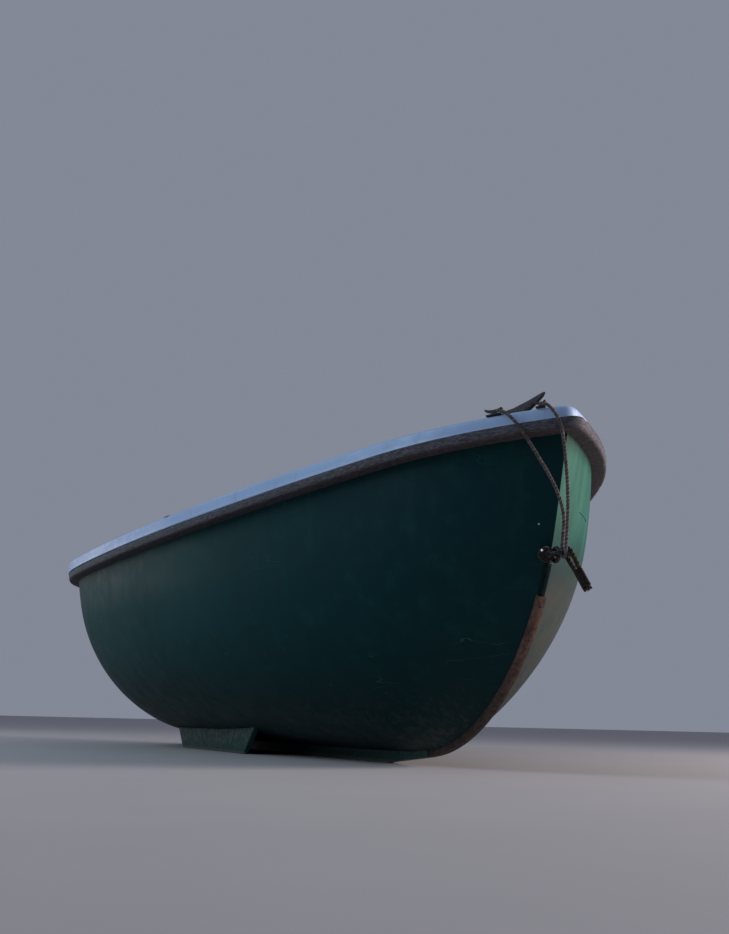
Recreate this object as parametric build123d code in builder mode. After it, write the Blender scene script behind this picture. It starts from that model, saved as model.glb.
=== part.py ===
from build123d import *
import os
from math import sin, cos, tan, radians, sqrt, hypot, exp, pi

os.makedirs("parts", exist_ok=True)

# Open rowing boat of glass-reinforced plastic, beached on its keel and two
# bilge keels.  mm, +X forward, +Y port, +Z up, z = 0 at the bottom of the
# keels, x = 0 half way along the boat.

# ---- lines of the hull ---------------------------------------------------
XO = -223.4                    # shift that puts x = 0 half way along
Z_KEEL = 40.0                  # outside of the skin on the centre line
DEAD = radians(9.199)          # rise of the bottom
FLARE = radians(7.993)         # lean of the topsides
R_BILGE = 738.2
HALF, Z_HALF = 850.0, 750.0    # a point of the topside amidships
XM = -834.3 + XO               # station of greatest beam
XT = -1740.4 + XO              # transom, at Z_TRANSOM
Z_TRANSOM, TRANSOM_RAKE = 450.0, 8.0
K_LOW, K_TOP = 0.3648, 0.6894  # transom width over greatest width
X_STEM, Z_STEM = 2200.0 + XO, 950.0
RAKE = radians(15.07)
R_STEM = 949.0
BIARC = 0.2412
ENTRY = (30.95, 54.028, 53.271)   # half angle of entrance, bottom, middle, top
SHEER_X, SHEER_Z, SHEER_R = -754.5 + XO, 886.8, 23697.0
SKIN = 7.0
TRANSOM_T = 10.0
LEVELS = (41, 52, 72, 104, 150, 212, 292, 390, 505, 635, 770, 900, 1010, 1110)
TOP_LEVELS = (800, 900, 1010, 1110)

# ---- gunwale -------------------------------------------------------------
CAP_OUT, CAP_IN, CAP_T, CAP_H = 50.0, -28.0, 6.0, 46.0
CAP_BACK = 42.0                   # the cap's nose stands this far aft of the hull's line
LIP_H = 25.0
RAIL_OUT, RAIL_H = 48.5, 34.2     # below the cap
DECK_T = 8.0                      # foredeck, its top flush with the cap


def half_breadth(z, t):
    nt = (-cos(FLARE), sin(FLARE))
    nb = (-sin(DEAD), cos(DEAD))
    bt = nt[0] * HALF + nt[1] * Z_HALF + R_BILGE
    bb = nb[1] * Z_KEEL + R_BILGE
    det = nt[0] * nb[1] - nt[1] * nb[0]
    cy, cz = (bt * nb[1] - nt[1] * bb) / det, (nt[0] * bb - bt * nb[0]) / det
    r = R_BILGE - t
    if z <= cz - r * nb[1]:
        return (z - Z_KEEL - t / cos(DEAD)) / tan(DEAD)
    if z >= cz - r * nt[1]:
        return HALF + (z - Z_HALF) * tan(FLARE) - t / cos(FLARE)
    return cy + sqrt(r * r - (z - cz) ** 2)


STEM_CZ = Z_KEEL + R_STEM
STEM_CX = (X_STEM * cos(RAKE) - Z_STEM * sin(RAKE) - R_STEM + STEM_CZ * sin(RAKE)) / cos(RAKE)


def stem_x(z, t=0.0):
    if z >= STEM_CZ - R_STEM * sin(RAKE):
        return X_STEM - (Z_STEM - z) * tan(RAKE) - t / cos(RAKE)
    return STEM_CX + sqrt(max((R_STEM - t) ** 2 - (STEM_CZ - z) ** 2, 0))


def entry(z):
    u = (z - 50) / 900
    a = ENTRY[0] * (1 - u) * (1 - 2 * u) + ENTRY[1] * 4 * u * (1 - u) + ENTRY[2] * u * (2 * u - 1)
    return radians(a * (1 - exp(-(z - Z_KEEL) / 30)))     # fine at the forefoot


def sheer(x):
    return SHEER_Z + SHEER_R - sqrt(SHEER_R ** 2 - (x - SHEER_X) ** 2)


def plan(z, t=0.0, out=0.0, back=0.0):
    """One waterline: face at height z, skin offset t inwards, then `out` outwards in plan."""
    hb, xb, a = half_breadth(z, t), stem_x(z, 2 * t) - back, entry(z)
    k = K_LOW + (K_TOP - K_LOW) * min(max((z - 40) / 600, 0), 1.2) ** 0.8
    vx, vy, r = xb - XM, -hb, BIARC
    qa = 2 * r * cos(a) - 2 * r
    qb = -2 * (vx * (1 + r * cos(a)) - vy * r * sin(a))
    qc = vx * vx + vy * vy
    d = (-qb - sqrt(qb * qb - 4 * qa * qc)) / (2 * qa)
    if d < 0:
        d = (-qb + sqrt(qb * qb - 4 * qa * qc)) / (2 * qa)
    ax, ay = XM + d, hb
    bx, by = xb - r * d * cos(a), r * d * sin(a)
    jx, jy = (ax * r + bx) / (1 + r), (ay * r + by) / (1 + r)
    tl = hypot(bx - ax, by - ay)
    tx, ty = (bx - ax) / tl, (by - ay) / tl
    dx, dy = XT - XM, hb * (1 - k)
    ra = (dx * dx + dy * dy) / (2 * dy)
    xc = XT - 130
    corner = (xc, hb - ra + sqrt((ra + out) ** 2 - (xc - XM) ** 2))
    wide = (XM, hb + out)
    joint = (jx - ty * out, jy + tx * out)
    if out >= 0:
        tip = (xb + sin(a) * out, cos(a) * out)
    else:
        wx, wy = xb - jx, -jy
        r2 = (wx * wx + wy * wy) / (2 * (wx * ty - wy * tx))
        cx2, cy2 = jx + ty * r2, jy - tx * r2
        tip = (cx2 + sqrt((r2 + out) ** 2 - cy2 ** 2), 0)
    with BuildSketch(Plane.XY.offset(z)) as s:
        with BuildLine():
            TangentArc(wide, corner, tangent=(-1, 0))
            TangentArc(wide, joint, tangent=(1, 0))
            TangentArc(joint, tip, tangent=(tx, ty))
            mirror(about=Plane.XZ)
            Line(corner, (corner[0], -corner[1]))
            if out > 0:
                ThreePointArc(tip, (xb + out, 0), (tip[0], -tip[1]))
        make_face()
    return s.sketch.face()


def band(lo, hi, x0=-2600.0, x1=2600.0):
    """Side view strip between two lines that run `lo` and `hi` above the sheer."""
    xm = (x0 + x1) / 2
    with BuildSketch(Plane.XZ) as s:
        with BuildLine():
            ThreePointArc((x0, sheer(x0) + hi), (xm, sheer(xm) + hi), (x1, sheer(x1) + hi))
            Line((x1, sheer(x1) + hi), (x1, sheer(x1) + lo))
            ThreePointArc((x1, sheer(x1) + lo), (xm, sheer(xm) + lo), (x0, sheer(x0) + lo))
            Line((x0, sheer(x0) + lo), (x0, sheer(x0) + hi))
        make_face()
    return s.sketch.face()


def transom_plane(fwd):
    """Plane parallel to the transom's outer face, `fwd` in front of it; +normal looks forward."""
    a = radians(TRANSOM_RAKE)
    n = Vector(cos(a), 0, sin(a))
    return Plane(origin=Vector(XT, 0, Z_TRANSOM) + n * fwd, x_dir=(0, 1, 0), z_dir=n)


def hull_point(x, z, out=0.0):
    """Half breadth of the outer skin at station x and height z."""
    lo, hi = 0.0, 1000.0
    f = plan(z, 0.0, out)
    for _ in range(24):
        m = (lo + hi) / 2
        if f.is_inside((x, m, z)):
            lo = m
        else:
            hi = m
    return lo


def aft_arc(z, out, back=0.0):
    """Centre x, centre y and radius of the fore arc next to the stem, at height z."""
    hb, xb, a = half_breadth(z, 0), stem_x(z) - back, entry(z)
    vx, vy, r = xb - XM, -hb, BIARC
    qa = 2 * r * cos(a) - 2 * r
    qb = -2 * (vx * (1 + r * cos(a)) - vy * r * sin(a))
    qc = vx * vx + vy * vy
    d = max((-qb - sqrt(qb * qb - 4 * qa * qc)) / (2 * qa), (-qb + sqrt(qb * qb - 4 * qa * qc)) / (2 * qa))
    ax, ay, bx, by = XM + d, hb, xb - r * d * cos(a), r * d * sin(a)
    jx, jy = (ax * r + bx) / (1 + r), (ay * r + by) / (1 + r)
    tl = hypot(bx - ax, by - ay)
    tx, ty = (bx - ax) / tl, (by - ay) / tl
    wx, wy = xb - jx, -jy
    r2 = (wx * wx + wy * wy) / (2 * (wx * ty - wy * tx))
    return jx + ty * r2, jy - tx * r2, r2 + out


def bow_x(y, z, out, back=0.0):
    """Station of the offset waterline near the stem for a given half breadth."""
    y = abs(y)
    if y < cos(entry(z)) * out:
        return stem_x(z) - back + sqrt(out * out - y * y)
    cx, cy, r = aft_arc(z, out, back)
    return cx + sqrt(r * r - (y - cy) ** 2)


def bow_normal(y, z, back=0.0):
    """Outward direction in plan of the waterline at half breadth |y|."""
    cx, cy, r = aft_arc(z, 0, back)
    v = Vector(bow_x(y, z, 0, back) - cx, abs(y) - cy, 0).normalized()
    return Vector(v.X, v.Y if y > 0 else -v.Y, 0)


def slope(x):
    return (x - SHEER_X) / SHEER_R


def sheer_normal(x):
    return Vector(-slope(x), 0, 1).normalized()


# ---- solids the pieces are cut from ---------------------------------------
with BuildPart() as body_out:
    loft([plan(z) for z in LEVELS])
    split(bisect_by=transom_plane(0), keep=Keep.TOP)

with BuildPart() as body_in:
    loft([plan(z, SKIN) for z in (Z_KEEL + SKIN + 1.2,) + LEVELS[1:]])
    split(bisect_by=transom_plane(TRANSOM_T), keep=Keep.TOP)

with BuildPart() as inner_edge:          # inside of the cap's opening
    loft([plan(z, 0, CAP_IN) for z in TOP_LEVELS])

# ---- stem fittings, sizes first ---------------------------------------------
Z_EYE = 640.0
X_EYE = stem_x(Z_EYE)
EYE_R, EYE_BAR = 19.0, 6.5               # ring of the stem eye
PIN_R, BAR_R = 6.0, 5.5                  # shackle
X_RING = X_EYE + 32.0
X_PIN = X_RING + EYE_R - EYE_BAR - PIN_R - 0.3
X_CROWN = X_PIN + 42.0
SHACKLE_HALF = 29.0
PLUG_Z = 95.0

# ---- hull_shell -------------------------------------------------------------
plug_plane = transom_plane(0)
plug_at = Plane(origin=(XT - (PLUG_Z - Z_TRANSOM) * tan(radians(TRANSOM_RAKE)), 0, PLUG_Z), x_dir=(0, 1, 0), z_dir=plug_plane.z_dir)
with BuildPart() as hull_shell:
    add(body_out.part)
    add(body_in.part, mode=Mode.SUBTRACT)
    extrude(band(-2500, -CAP_T), amount=1200, both=True, mode=Mode.INTERSECT)
    extrude(band(-26, 60, 1850, 2600), amount=400, both=True, mode=Mode.SUBTRACT)   # lower edge at the nose
    with Locations(plug_at):
        Cylinder(10, 60, mode=Mode.SUBTRACT)
    with Locations((X_EYE - 20, 0, Z_EYE)):
        Cylinder(6.5, 120, rotation=(0, 90, 0), mode=Mode.SUBTRACT)

# ---- gunwale_cap, rub_rail, transom_cap --------------------------------------
SOCKET_OUT = 22.0                        # rowlock sockets, outside the hull line
ROWLOCK_X = (-640.0 + XO, 470.0 + XO)    # stations of the two pairs
SOCKET_R, BORE_R, SOCKET_L = 10.0, 6.5, 62.0
socket_planes = []
for x in ROWLOCK_X:
    y = hull_point(x, sheer(x) - 3) + SOCKET_OUT
    for side in (1, -1):
        socket_planes.append(Plane(origin=(x, side * y, sheer(x)), x_dir=(1, 0, slope(x)), z_dir=sheer_normal(x)))

with BuildPart() as cap_hollow:
    loft([plan(z, 0, CAP_OUT - CAP_T, CAP_BACK) for z in TOP_LEVELS])
    extrude(band(-CAP_H - 30, -CAP_T), amount=1200, both=True, mode=Mode.INTERSECT)
    split(bisect_by=transom_plane(-CAP_T), keep=Keep.TOP)

with BuildPart() as cap_lip:
    loft([plan(z, 0, CAP_IN + CAP_T) for z in TOP_LEVELS])
    extrude(band(-LIP_H, -CAP_T), amount=1200, both=True, mode=Mode.INTERSECT)
    split(bisect_by=transom_plane(39), keep=Keep.TOP)

with BuildPart() as gunwale_cap:
    loft([plan(z, 0, CAP_OUT, CAP_BACK) for z in TOP_LEVELS])
    extrude(band(-CAP_H, 0), amount=1200, both=True, mode=Mode.INTERSECT)
    add(cap_hollow.part, mode=Mode.SUBTRACT)
    add(cap_lip.part)
    add(inner_edge.part, mode=Mode.SUBTRACT)
    split(bisect_by=transom_plane(-12), keep=Keep.TOP)
    with Locations(*socket_planes):
        Cylinder(SOCKET_R, 60, mode=Mode.SUBTRACT)

with BuildPart() as rail_upper:
    loft([plan(z, 0, CAP_OUT - CAP_T, CAP_BACK) for z in TOP_LEVELS])
    extrude(band(-CAP_H, -CAP_T), amount=1200, both=True, mode=Mode.INTERSECT)

with BuildPart() as rub_rail:
    loft([plan(z, 0, RAIL_OUT) for z in TOP_LEVELS])
    extrude(band(-CAP_H - RAIL_H, -CAP_H), amount=1200, both=True, mode=Mode.INTERSECT)
    add(rail_upper.part)
    split(bisect_by=transom_plane(0), keep=Keep.TOP)
    add(body_out.part, mode=Mode.SUBTRACT)
    with Locations(*socket_planes):
        Cylinder(SOCKET_R, 240, mode=Mode.SUBTRACT)

with BuildPart() as under_cap:
    extrude(band(-60, -CAP_T), amount=1200, both=True)
    split(bisect_by=transom_plane(-CAP_T), keep=Keep.TOP)
    split(bisect_by=transom_plane(39), keep=Keep.BOTTOM)
with BuildPart() as under_lip:
    extrude(band(-60, -LIP_H), amount=1200, both=True)
    split(bisect_by=transom_plane(30), keep=Keep.TOP)
with BuildPart() as transom_cap:
    add(inner_edge.part)
    extrude(band(-CAP_H, 0), amount=1200, both=True, mode=Mode.INTERSECT)
    split(bisect_by=transom_plane(-12), keep=Keep.TOP)
    split(bisect_by=transom_plane(45), keep=Keep.BOTTOM)
    add(under_cap.part, mode=Mode.SUBTRACT)
    add(under_lip.part, mode=Mode.SUBTRACT)

# ---- rowlock_sockets: galvanised tubes let into the gunwale ------------------
with BuildPart() as rowlock_sockets:
    for p in socket_planes:
        with BuildSketch(p.offset(0.1)):
            SlotOverall(78, 34)
        extrude(amount=4)
        with Locations(p.offset(0.1)):
            Cylinder(SOCKET_R, SOCKET_L, align=(Align.CENTER, Align.CENTER, Align.MAX))
    with Locations(*socket_planes):
        Cylinder(BORE_R, 2 * SOCKET_L + 40, mode=Mode.SUBTRACT)

# ---- keel, stem_band, bilge_keels --------------------------------------------
BAND_PROUD, BAND_HALF, BAND_TOP = 12.0, 13.0, 520.0
R_BAND = R_STEM + BAND_PROUD
foot = radians(5)
X_FOOT, Z_FOOT = STEM_CX + R_BAND * sin(foot), STEM_CZ - R_BAND * cos(foot)
with BuildPart() as keel:
    with BuildSketch(Plane.XZ):
        with BuildLine():
            Polyline((XT + 75, 0), (X_FOOT - Z_FOOT / tan(foot), 0), (X_FOOT, Z_FOOT), (X_FOOT, 75), (XT + 75, 75), close=True)
        make_face()
    extrude(amount=18, both=True)
    add(body_out.part, mode=Mode.SUBTRACT)

with BuildPart() as stem_band:
    from_deg, to_deg = -85.0, -90.0 + 60.8
    with BuildSketch(Plane.XZ):
        with BuildLine():
            a = CenterArc((STEM_CX, STEM_CZ), R_BAND, from_deg, to_deg - from_deg)
            b = CenterArc((STEM_CX, STEM_CZ), R_STEM - 45, from_deg, to_deg - from_deg)
            Line(a @ 0, b @ 0)
            Line(a @ 1, b @ 1)
        make_face()
    extrude(amount=BAND_HALF, both=True)
    add(body_out.part, mode=Mode.SUBTRACT)
    add(keel.part, mode=Mode.SUBTRACT)

BILGE_Y, BILGE_T = 300.0, 24.0
with BuildPart() as bilge_keels:
    for y in (BILGE_Y, -BILGE_Y):
        with BuildSketch(Plane.XZ.offset(-y - BILGE_T / 2)):
            Polygon((-1150 + XO, 240), (-900 + XO, 0), (120 + XO, 0), (420 + XO, 240), align=None)
        extrude(amount=BILGE_T)
    add(body_out.part, mode=Mode.SUBTRACT)

# ---- foredeck, bow_bulkhead ---------------------------------------------------
X_DECK = 1200.0 + XO
with BuildPart() as foredeck:
    add(inner_edge.part)
    extrude(band(-DECK_T, 0), amount=1200, both=True, mode=Mode.INTERSECT)
    split(bisect_by=Plane.YZ.offset(X_DECK), keep=Keep.TOP)

with BuildPart() as bow_bulkhead:
    with Locations((X_DECK + 14, 0, 560)):
        Box(8, 1500, 1200)
    add(body_in.part, mode=Mode.INTERSECT)
    extrude(band(-2500, -DECK_T), amount=1200, both=True, mode=Mode.INTERSECT)
    add(gunwale_cap.part, mode=Mode.SUBTRACT)
    with BuildSketch(Plane.YZ.offset(X_DECK)):
        with Locations((0, 640)):
            RectangleRounded(380, 260, 50)
    extrude(amount=40, mode=Mode.SUBTRACT)

# ---- thwarts, thwart_risers, thwart_posts ---------------------------------------
THWART_TOP, THWART_T = 600.0, 30.0
THWARTS = (("forward_thwart", 760.0, 990.0), ("middle_thwart", -350.0, -90.0))   # name, aft edge, fore edge
thwart_parts = {}
for name, xa, xf in THWARTS:
    with BuildPart() as thwart:
        with Locations(((xa + xf) / 2 + XO, 0, THWART_TOP - THWART_T / 2)):
            Box(xf - xa, 1800, THWART_T)
        fillet(thwart.edges().filter_by(Axis.Y), 8)
        add(body_in.part, mode=Mode.INTERSECT)
    thwart_parts[name] = thwart.part

RISER_D, RISER_T = 34.0, 26.0
with BuildPart() as thwart_risers:
    add(body_in.part)
    with Locations((-40 + XO, 0, THWART_TOP - THWART_T - RISER_D / 2)):
        Box(2460, 2000, RISER_D, mode=Mode.INTERSECT)
    loft([plan(z, SKIN, -RISER_T) for z in (500, 640)], mode=Mode.SUBTRACT)

FLOOR_TOP, BOARD_T, BOARD_W, BOARD_PITCH = 165.0, 15.0, 92.0, 106.0
with BuildPart() as thwart_posts:
    for name, xa, xf in THWARTS:
        with Locations(((xa + xf) / 2 + XO, 0, FLOOR_TOP)):
            Box(70, 44, THWART_TOP - THWART_T - FLOOR_TOP, align=(Align.CENTER, Align.CENTER, Align.MIN))

# ---- floorboards, floor_bearers ---------------------------------------------------
X_LOCKER = -1290.0 + XO
with BuildPart() as floorboards:
    for i in range(-2, 3):
        with Locations(((X_LOCKER + 12 + X_DECK) / 2, i * BOARD_PITCH, FLOOR_TOP - BOARD_T / 2)):
            Box(X_DECK - X_LOCKER - 28, BOARD_W, BOARD_T)
    add(body_in.part, mode=Mode.INTERSECT)

with BuildPart() as floor_bearers:
    with Locations(*[(x + XO, 0, (FLOOR_TOP - BOARD_T) / 2) for x in (-1120, -560, 0, 560, 1080)]):
        Box(44, 1100, FLOOR_TOP - BOARD_T)
    add(body_in.part, mode=Mode.INTERSECT)

with BuildPart() as foot_stretcher:
    with Locations((-980 + XO, 0, 225)):
        Box(26, 1400, 64, rotation=(0, -20, 0))
    add(body_in.part, mode=Mode.INTERSECT)

# ---- stern_locker, locker_lid, hinges ------------------------------------------------
LOCKER_TOP, LOCKER_T = 560.0, 8.0
OPEN_A, OPEN_F, OPEN_HALF = -1640.0 + XO, -1350.0 + XO, 330.0
COAM_T, COAM_H, LID_GAP, LID_T, LID_LIP = 6.0, 14.0, 6.0, 6.0, 5.0
with BuildPart() as stern_locker:
    with Locations((X_LOCKER + 4, 0, 0)):
        Box(8, 1800, LOCKER_TOP, align=(Align.CENTER, Align.CENTER, Align.MIN))
    with Locations(((X_LOCKER + 8 - 1950 + XO) / 2, 0, LOCKER_TOP - LOCKER_T)):
        Box(X_LOCKER + 8 + 1950 - XO, 1800, LOCKER_T, align=(Align.CENTER, Align.CENTER, Align.MIN))
    add(body_in.part, mode=Mode.INTERSECT)
    with Locations(((OPEN_A + OPEN_F) / 2, 0, LOCKER_TOP - LOCKER_T)):
        Box(OPEN_F - OPEN_A + 2 * COAM_T, 2 * (OPEN_HALF + COAM_T), LOCKER_T + COAM_H, align=(Align.CENTER, Align.CENTER, Align.MIN))
        Box(OPEN_F - OPEN_A, 2 * OPEN_HALF, 100, mode=Mode.SUBTRACT)

lid_a, lid_f, lid_half = OPEN_A - COAM_T - LID_GAP, OPEN_F + COAM_T + LID_GAP, OPEN_HALF + COAM_T + LID_GAP
LID_Z0, LID_Z1 = LOCKER_TOP + 6.0, LOCKER_TOP + COAM_H + LID_GAP + LID_T
with BuildPart() as locker_lid:
    with Locations(((lid_a + lid_f) / 2, 0, LID_Z0)):
        Box(lid_f - lid_a + 2 * LID_LIP, 2 * (lid_half + LID_LIP), LID_Z1 - LID_Z0, align=(Align.CENTER, Align.CENTER, Align.MIN))
    fillet(locker_lid.edges().filter_by(Axis.Z), 14)
    fillet(locker_lid.edges().group_by(Axis.Z)[-1], 4)
    with Locations(((lid_a + lid_f) / 2, 0, LID_Z0)):
        Box(lid_f - lid_a, 2 * lid_half, LID_Z1 - LID_Z0 - LID_T, align=(Align.CENTER, Align.CENTER, Align.MIN), mode=Mode.SUBTRACT)
    with Locations((lid_f - 50, 0, LID_Z1)):
        Cylinder(16, 30, mode=Mode.SUBTRACT)

X_HINGE, Z_HINGE = lid_a - LID_LIP - 8.0, LOCKER_TOP + 6.0
HINGE_Y, KNUCKLE, PIN, BARREL = (-220.0, 220.0), 24.0, 2.5, 5.0
with BuildPart() as locker_hinges:
    for y in HINGE_Y:
        with Locations((X_HINGE - 6, y, LOCKER_TOP)):
            Box(32, 52, 2, align=(Align.MAX, Align.CENTER, Align.MIN))
        with Locations((X_HINGE, y - 19, Z_HINGE), (X_HINGE, y + 19, Z_HINGE)):
            Cylinder(BARREL, 13, rotation=(90, 0, 0))
        with Locations((X_HINGE + 5, y - 19, LOCKER_TOP), (X_HINGE + 5, y + 19, LOCKER_TOP)):
            Box(16, 13, 6, align=(Align.MAX, Align.CENTER, Align.MIN))
        with Locations((X_HINGE, y, Z_HINGE)):
            Cylinder(PIN, 52, rotation=(90, 0, 0))

with BuildPart() as lid_leaves:
    for y in HINGE_Y:
        with Locations((X_HINGE, y, Z_HINGE)):
            Cylinder(BARREL, KNUCKLE, rotation=(90, 0, 0))
            Box(8, KNUCKLE, 5, align=(Align.MIN, Align.CENTER, Align.MIN))
        with Locations((lid_a - LID_LIP - 2, y, Z_HINGE)):
            Box(2, KNUCKLE, LID_Z1 - Z_HINGE + 2, align=(Align.MIN, Align.CENTER, Align.MIN))
        with Locations((lid_a - LID_LIP - 2, y, LID_Z1)):
            Box(60, KNUCKLE, 2, align=(Align.MIN, Align.CENTER, Align.MIN))
        with Locations((X_HINGE, y, Z_HINGE)):
            Cylinder(PIN + 0.3, KNUCKLE + 2, rotation=(90, 0, 0), mode=Mode.SUBTRACT)
    add(locker_lid.part, mode=Mode.SUBTRACT)

# ---- quarter_knees -------------------------------------------------------------------
with BuildPart() as quarter_knees:
    with BuildSketch(Plane.XY.offset(700)):
        Polygon((-1950 + XO, 260), (-1950 + XO, 900), (-1330 + XO, 900), align=None)
        Polygon((-1950 + XO, -260), (-1950 + XO, -900), (-1330 + XO, -900), align=None)
    extrude(amount=400)
    extrude(band(-LIP_H - 22, -LIP_H), amount=1200, both=True, mode=Mode.INTERSECT)
    add(body_in.part, mode=Mode.INTERSECT)
    add(transom_cap.part, mode=Mode.SUBTRACT)

# ---- drain_plug, stern_handles ------------------------------------------------------------
with BuildPart() as drain_plug:
    with Locations(plug_at):
        Cylinder(10, 34)
        Cylinder(17, 9, align=(Align.CENTER, Align.CENTER, Align.MAX))
    with Locations(plug_at.offset(-9)):
        Box(22, 5, 7, align=(Align.CENTER, Align.CENTER, Align.MAX))

HANDLE_Y, HANDLE_Z, HANDLE_OUT, HANDLE_SPAN = 300.0, 790.0, 44.0, 130.0
with BuildPart() as stern_handles:
    for y in (-HANDLE_Y, HANDLE_Y):
        p = Plane(origin=(XT - (HANDLE_Z - Z_TRANSOM) * tan(radians(TRANSOM_RAKE)), y, HANDLE_Z), x_dir=(0, 1, 0), z_dir=(-cos(radians(TRANSOM_RAKE)), 0, -sin(radians(TRANSOM_RAKE))))
        h = HANDLE_SPAN / 2
        pts = [p.from_local_coords(v) for v in ((-h, 0, 0), (-h, 0, HANDLE_OUT), (h, 0, HANDLE_OUT), (h, 0, 0))]
        with BuildLine():
            wire = FilletPolyline(*pts, radius=16)
        with BuildSketch(Plane(origin=pts[0], z_dir=pts[1] - pts[0])):
            Circle(6)
        sweep(path=wire)
        with Locations(p.offset(0)):
            with Locations((-h, 0, 0), (h, 0, 0)):
                Cylinder(15, 4, align=(Align.CENTER, Align.CENTER, Align.MIN))

# ---- stem_eye, shackle, stem_lashing -----------------------------------------------------------
with BuildPart() as eye_boss:
    with Locations((X_EYE, 0, Z_EYE)):
        Cylinder(20, 60, rotation=(0, 90, 0))
    with Locations((X_EYE + 6 + 50, 0, Z_EYE)):
        Box(100, 100, 100, mode=Mode.SUBTRACT)
    add(body_out.part, mode=Mode.SUBTRACT)
with BuildPart() as eye_block:
    with Locations((X_EYE - 35, 0, Z_EYE)):
        Cylinder(18, 50, rotation=(0, 90, 0))
    add(body_in.part, mode=Mode.INTERSECT)
with BuildPart() as stem_eye:
    with Locations((X_EYE - 26, 0, Z_EYE)):
        Cylinder(6.5, 74, rotation=(0, 90, 0))
    add(eye_boss.part)
    add(eye_block.part)
    with Locations((X_RING, 0, Z_EYE)):
        Torus(EYE_R, EYE_BAR, rotation=(90, 0, 0))

with BuildPart() as shackle:
    with BuildLine():
        bow = FilletPolyline((X_PIN, -SHACKLE_HALF, Z_EYE), (X_CROWN, -SHACKLE_HALF, Z_EYE), (X_CROWN, SHACKLE_HALF, Z_EYE), (X_PIN, SHACKLE_HALF, Z_EYE), radius=12)
    with BuildSketch(Plane(origin=(X_PIN, -SHACKLE_HALF, Z_EYE), z_dir=(1, 0, 0))):
        Circle(BAR_R)
    sweep(path=bow)
    with Locations((X_PIN, 0, Z_EYE)):
        Cylinder(PIN_R, 2 * SHACKLE_HALF + 18, rotation=(90, 0, 0))
    with Locations((X_PIN, -SHACKLE_HALF, Z_EYE), (X_PIN, SHACKLE_HALF, Z_EYE)):
        Cylinder(11, 11, rotation=(90, 0, 0))
    with Locations((X_PIN, SHACKLE_HALF + 9, Z_EYE)):
        Cylinder(9, 6, rotation=(90, 0, 0))

with BuildPart() as stem_lashing:
    with Locations((X_EYE + 17, -26, Z_EYE + 1)):
        Cylinder(24, 36, rotation=(90, 0, 0))
    fillet(stem_lashing.edges().filter_by(GeomType.CIRCLE), 9)
    add(body_out.part, mode=Mode.SUBTRACT)
    add(stem_eye.part, mode=Mode.SUBTRACT)
    add(shackle.part, mode=Mode.SUBTRACT)

# ---- cleat_pad, mooring_cleat --------------------------------------------------------------------
X_CLEAT = 1895.0 + XO
PAD_T = 16.0
with BuildPart() as cleat_pad:
    extrude(band(0, PAD_T), amount=46, both=True)
    with Locations((X_CLEAT, 0, sheer(X_CLEAT))):
        Box(230, 200, 200, mode=Mode.INTERSECT)

with BuildPart() as mooring_cleat:
    z0 = sheer(X_CLEAT) + PAD_T
    # half outline of the cleat: along the boat, up from the pad
    half = ((0, -20), (72, -20), (72, 12), (42, 16), (36, 40), (70, 54), (134, 69), (178, 84), (189, 91), (188, 98), (180, 100), (90, 92), (0, 88))
    with BuildSketch(Plane.XZ.offset(0)):
        with Locations((X_CLEAT, z0)):
            Polygon(*half, *[(-u, w) for u, w in reversed(half[1:-1])], align=None)
    extrude(amount=12, both=True)
    extrude(band(-200, PAD_T), amount=100, both=True, mode=Mode.SUBTRACT)

# ---- fairleads: small two-horned ones on the gunwale ------------------------------------------------
# name, y of the cap's line, length of its horns
FAIRLEADS = (("fairlead_starboard", -141.0, 29.0), ("fairlead_bow", -43.8, 17.0))
FAIR_OUT = 38.0                # outside the cap's line
FAIR_HALF = ((0, 0), (30, 0), (30, 4), (9, 6), (8, 11), (24, 13), (33, 17), (34, 21), (30, 22), (16, 18), (0, 17))
fair_parts, fair_at = {}, {}
for name, yf, horn in FAIRLEADS:
    z = 1058.0
    for _ in range(4):
        n = bow_normal(yf, z, CAP_BACK)
        x = bow_x(yf, z, 0, CAP_BACK) + n.X * FAIR_OUT
        z = sheer(x)
    y = yf + n.Y * FAIR_OUT
    half = [(u * horn / 34, w) for u, w in FAIR_HALF]
    up = sheer_normal(x)
    nn = (n - up * n.dot(up)).normalized()
    p = Plane(origin=Vector(x, y, z) + up * 0.1, x_dir=up.cross(nn), z_dir=nn)
    fair_at[name] = p
    with BuildPart() as fairlead:
        with BuildSketch(p):
            Polygon(*half, *[(-u, w) for u, w in reversed(half[1:-1])], align=None)
        extrude(amount=7, both=True)
    fair_parts[name] = fairlead.part

# ---- strop: a short old rope doubled and seized, its eye round the shackle --------------------------
ROPE_R, STROP_R = 5.5, 7.5
C = Vector(X_CROWN, 13.5, Z_EYE)
u = Vector(0.572, 0.12, -0.820).normalized()
v = Vector(0.820, 0, 0.572)
e = BAR_R + STROP_R + 0.3
s = STROP_R + 0.25
strop_pts = [C + u * 140 + v * s, C + u * 78 + v * s, C + u * 24 + v * e, C - u * e + v * e, C - u * e - v * e, C + u * 24 - v * e, C + u * 78 - v * s, C + u * 134 - v * s]
strop_rad = [30, 24, e * 0.99, e * 0.99, 24, 30]
with BuildPart() as strop:
    with BuildLine():
        strop_line = FilletPolyline(*strop_pts, radius=strop_rad)
    with BuildSketch(Plane(origin=strop_pts[0], z_dir=strop_pts[1] - strop_pts[0])):
        Circle(STROP_R)
    sweep(path=strop_line)
print("strop length", round(strop_line.length, 1), "radii", strop_rad, "volume ratio", round(strop.part.volume / (pi * STROP_R ** 2 * strop_line.length), 4))

# ---- bridle_rope ---------------------------------------------------------------------------------------
turn = BAR_R + ROPE_R + 0.3


def beside(y, h, out, back=0.0):
    """Point `out` outside the hull's line (or the cap's) at half breadth y, h above the sheer."""
    x = 1950.0
    for _ in range(6):
        x = bow_x(y, sheer(x) + h, out, back)
    return Vector(x, y, sheer(x) + h)


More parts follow.
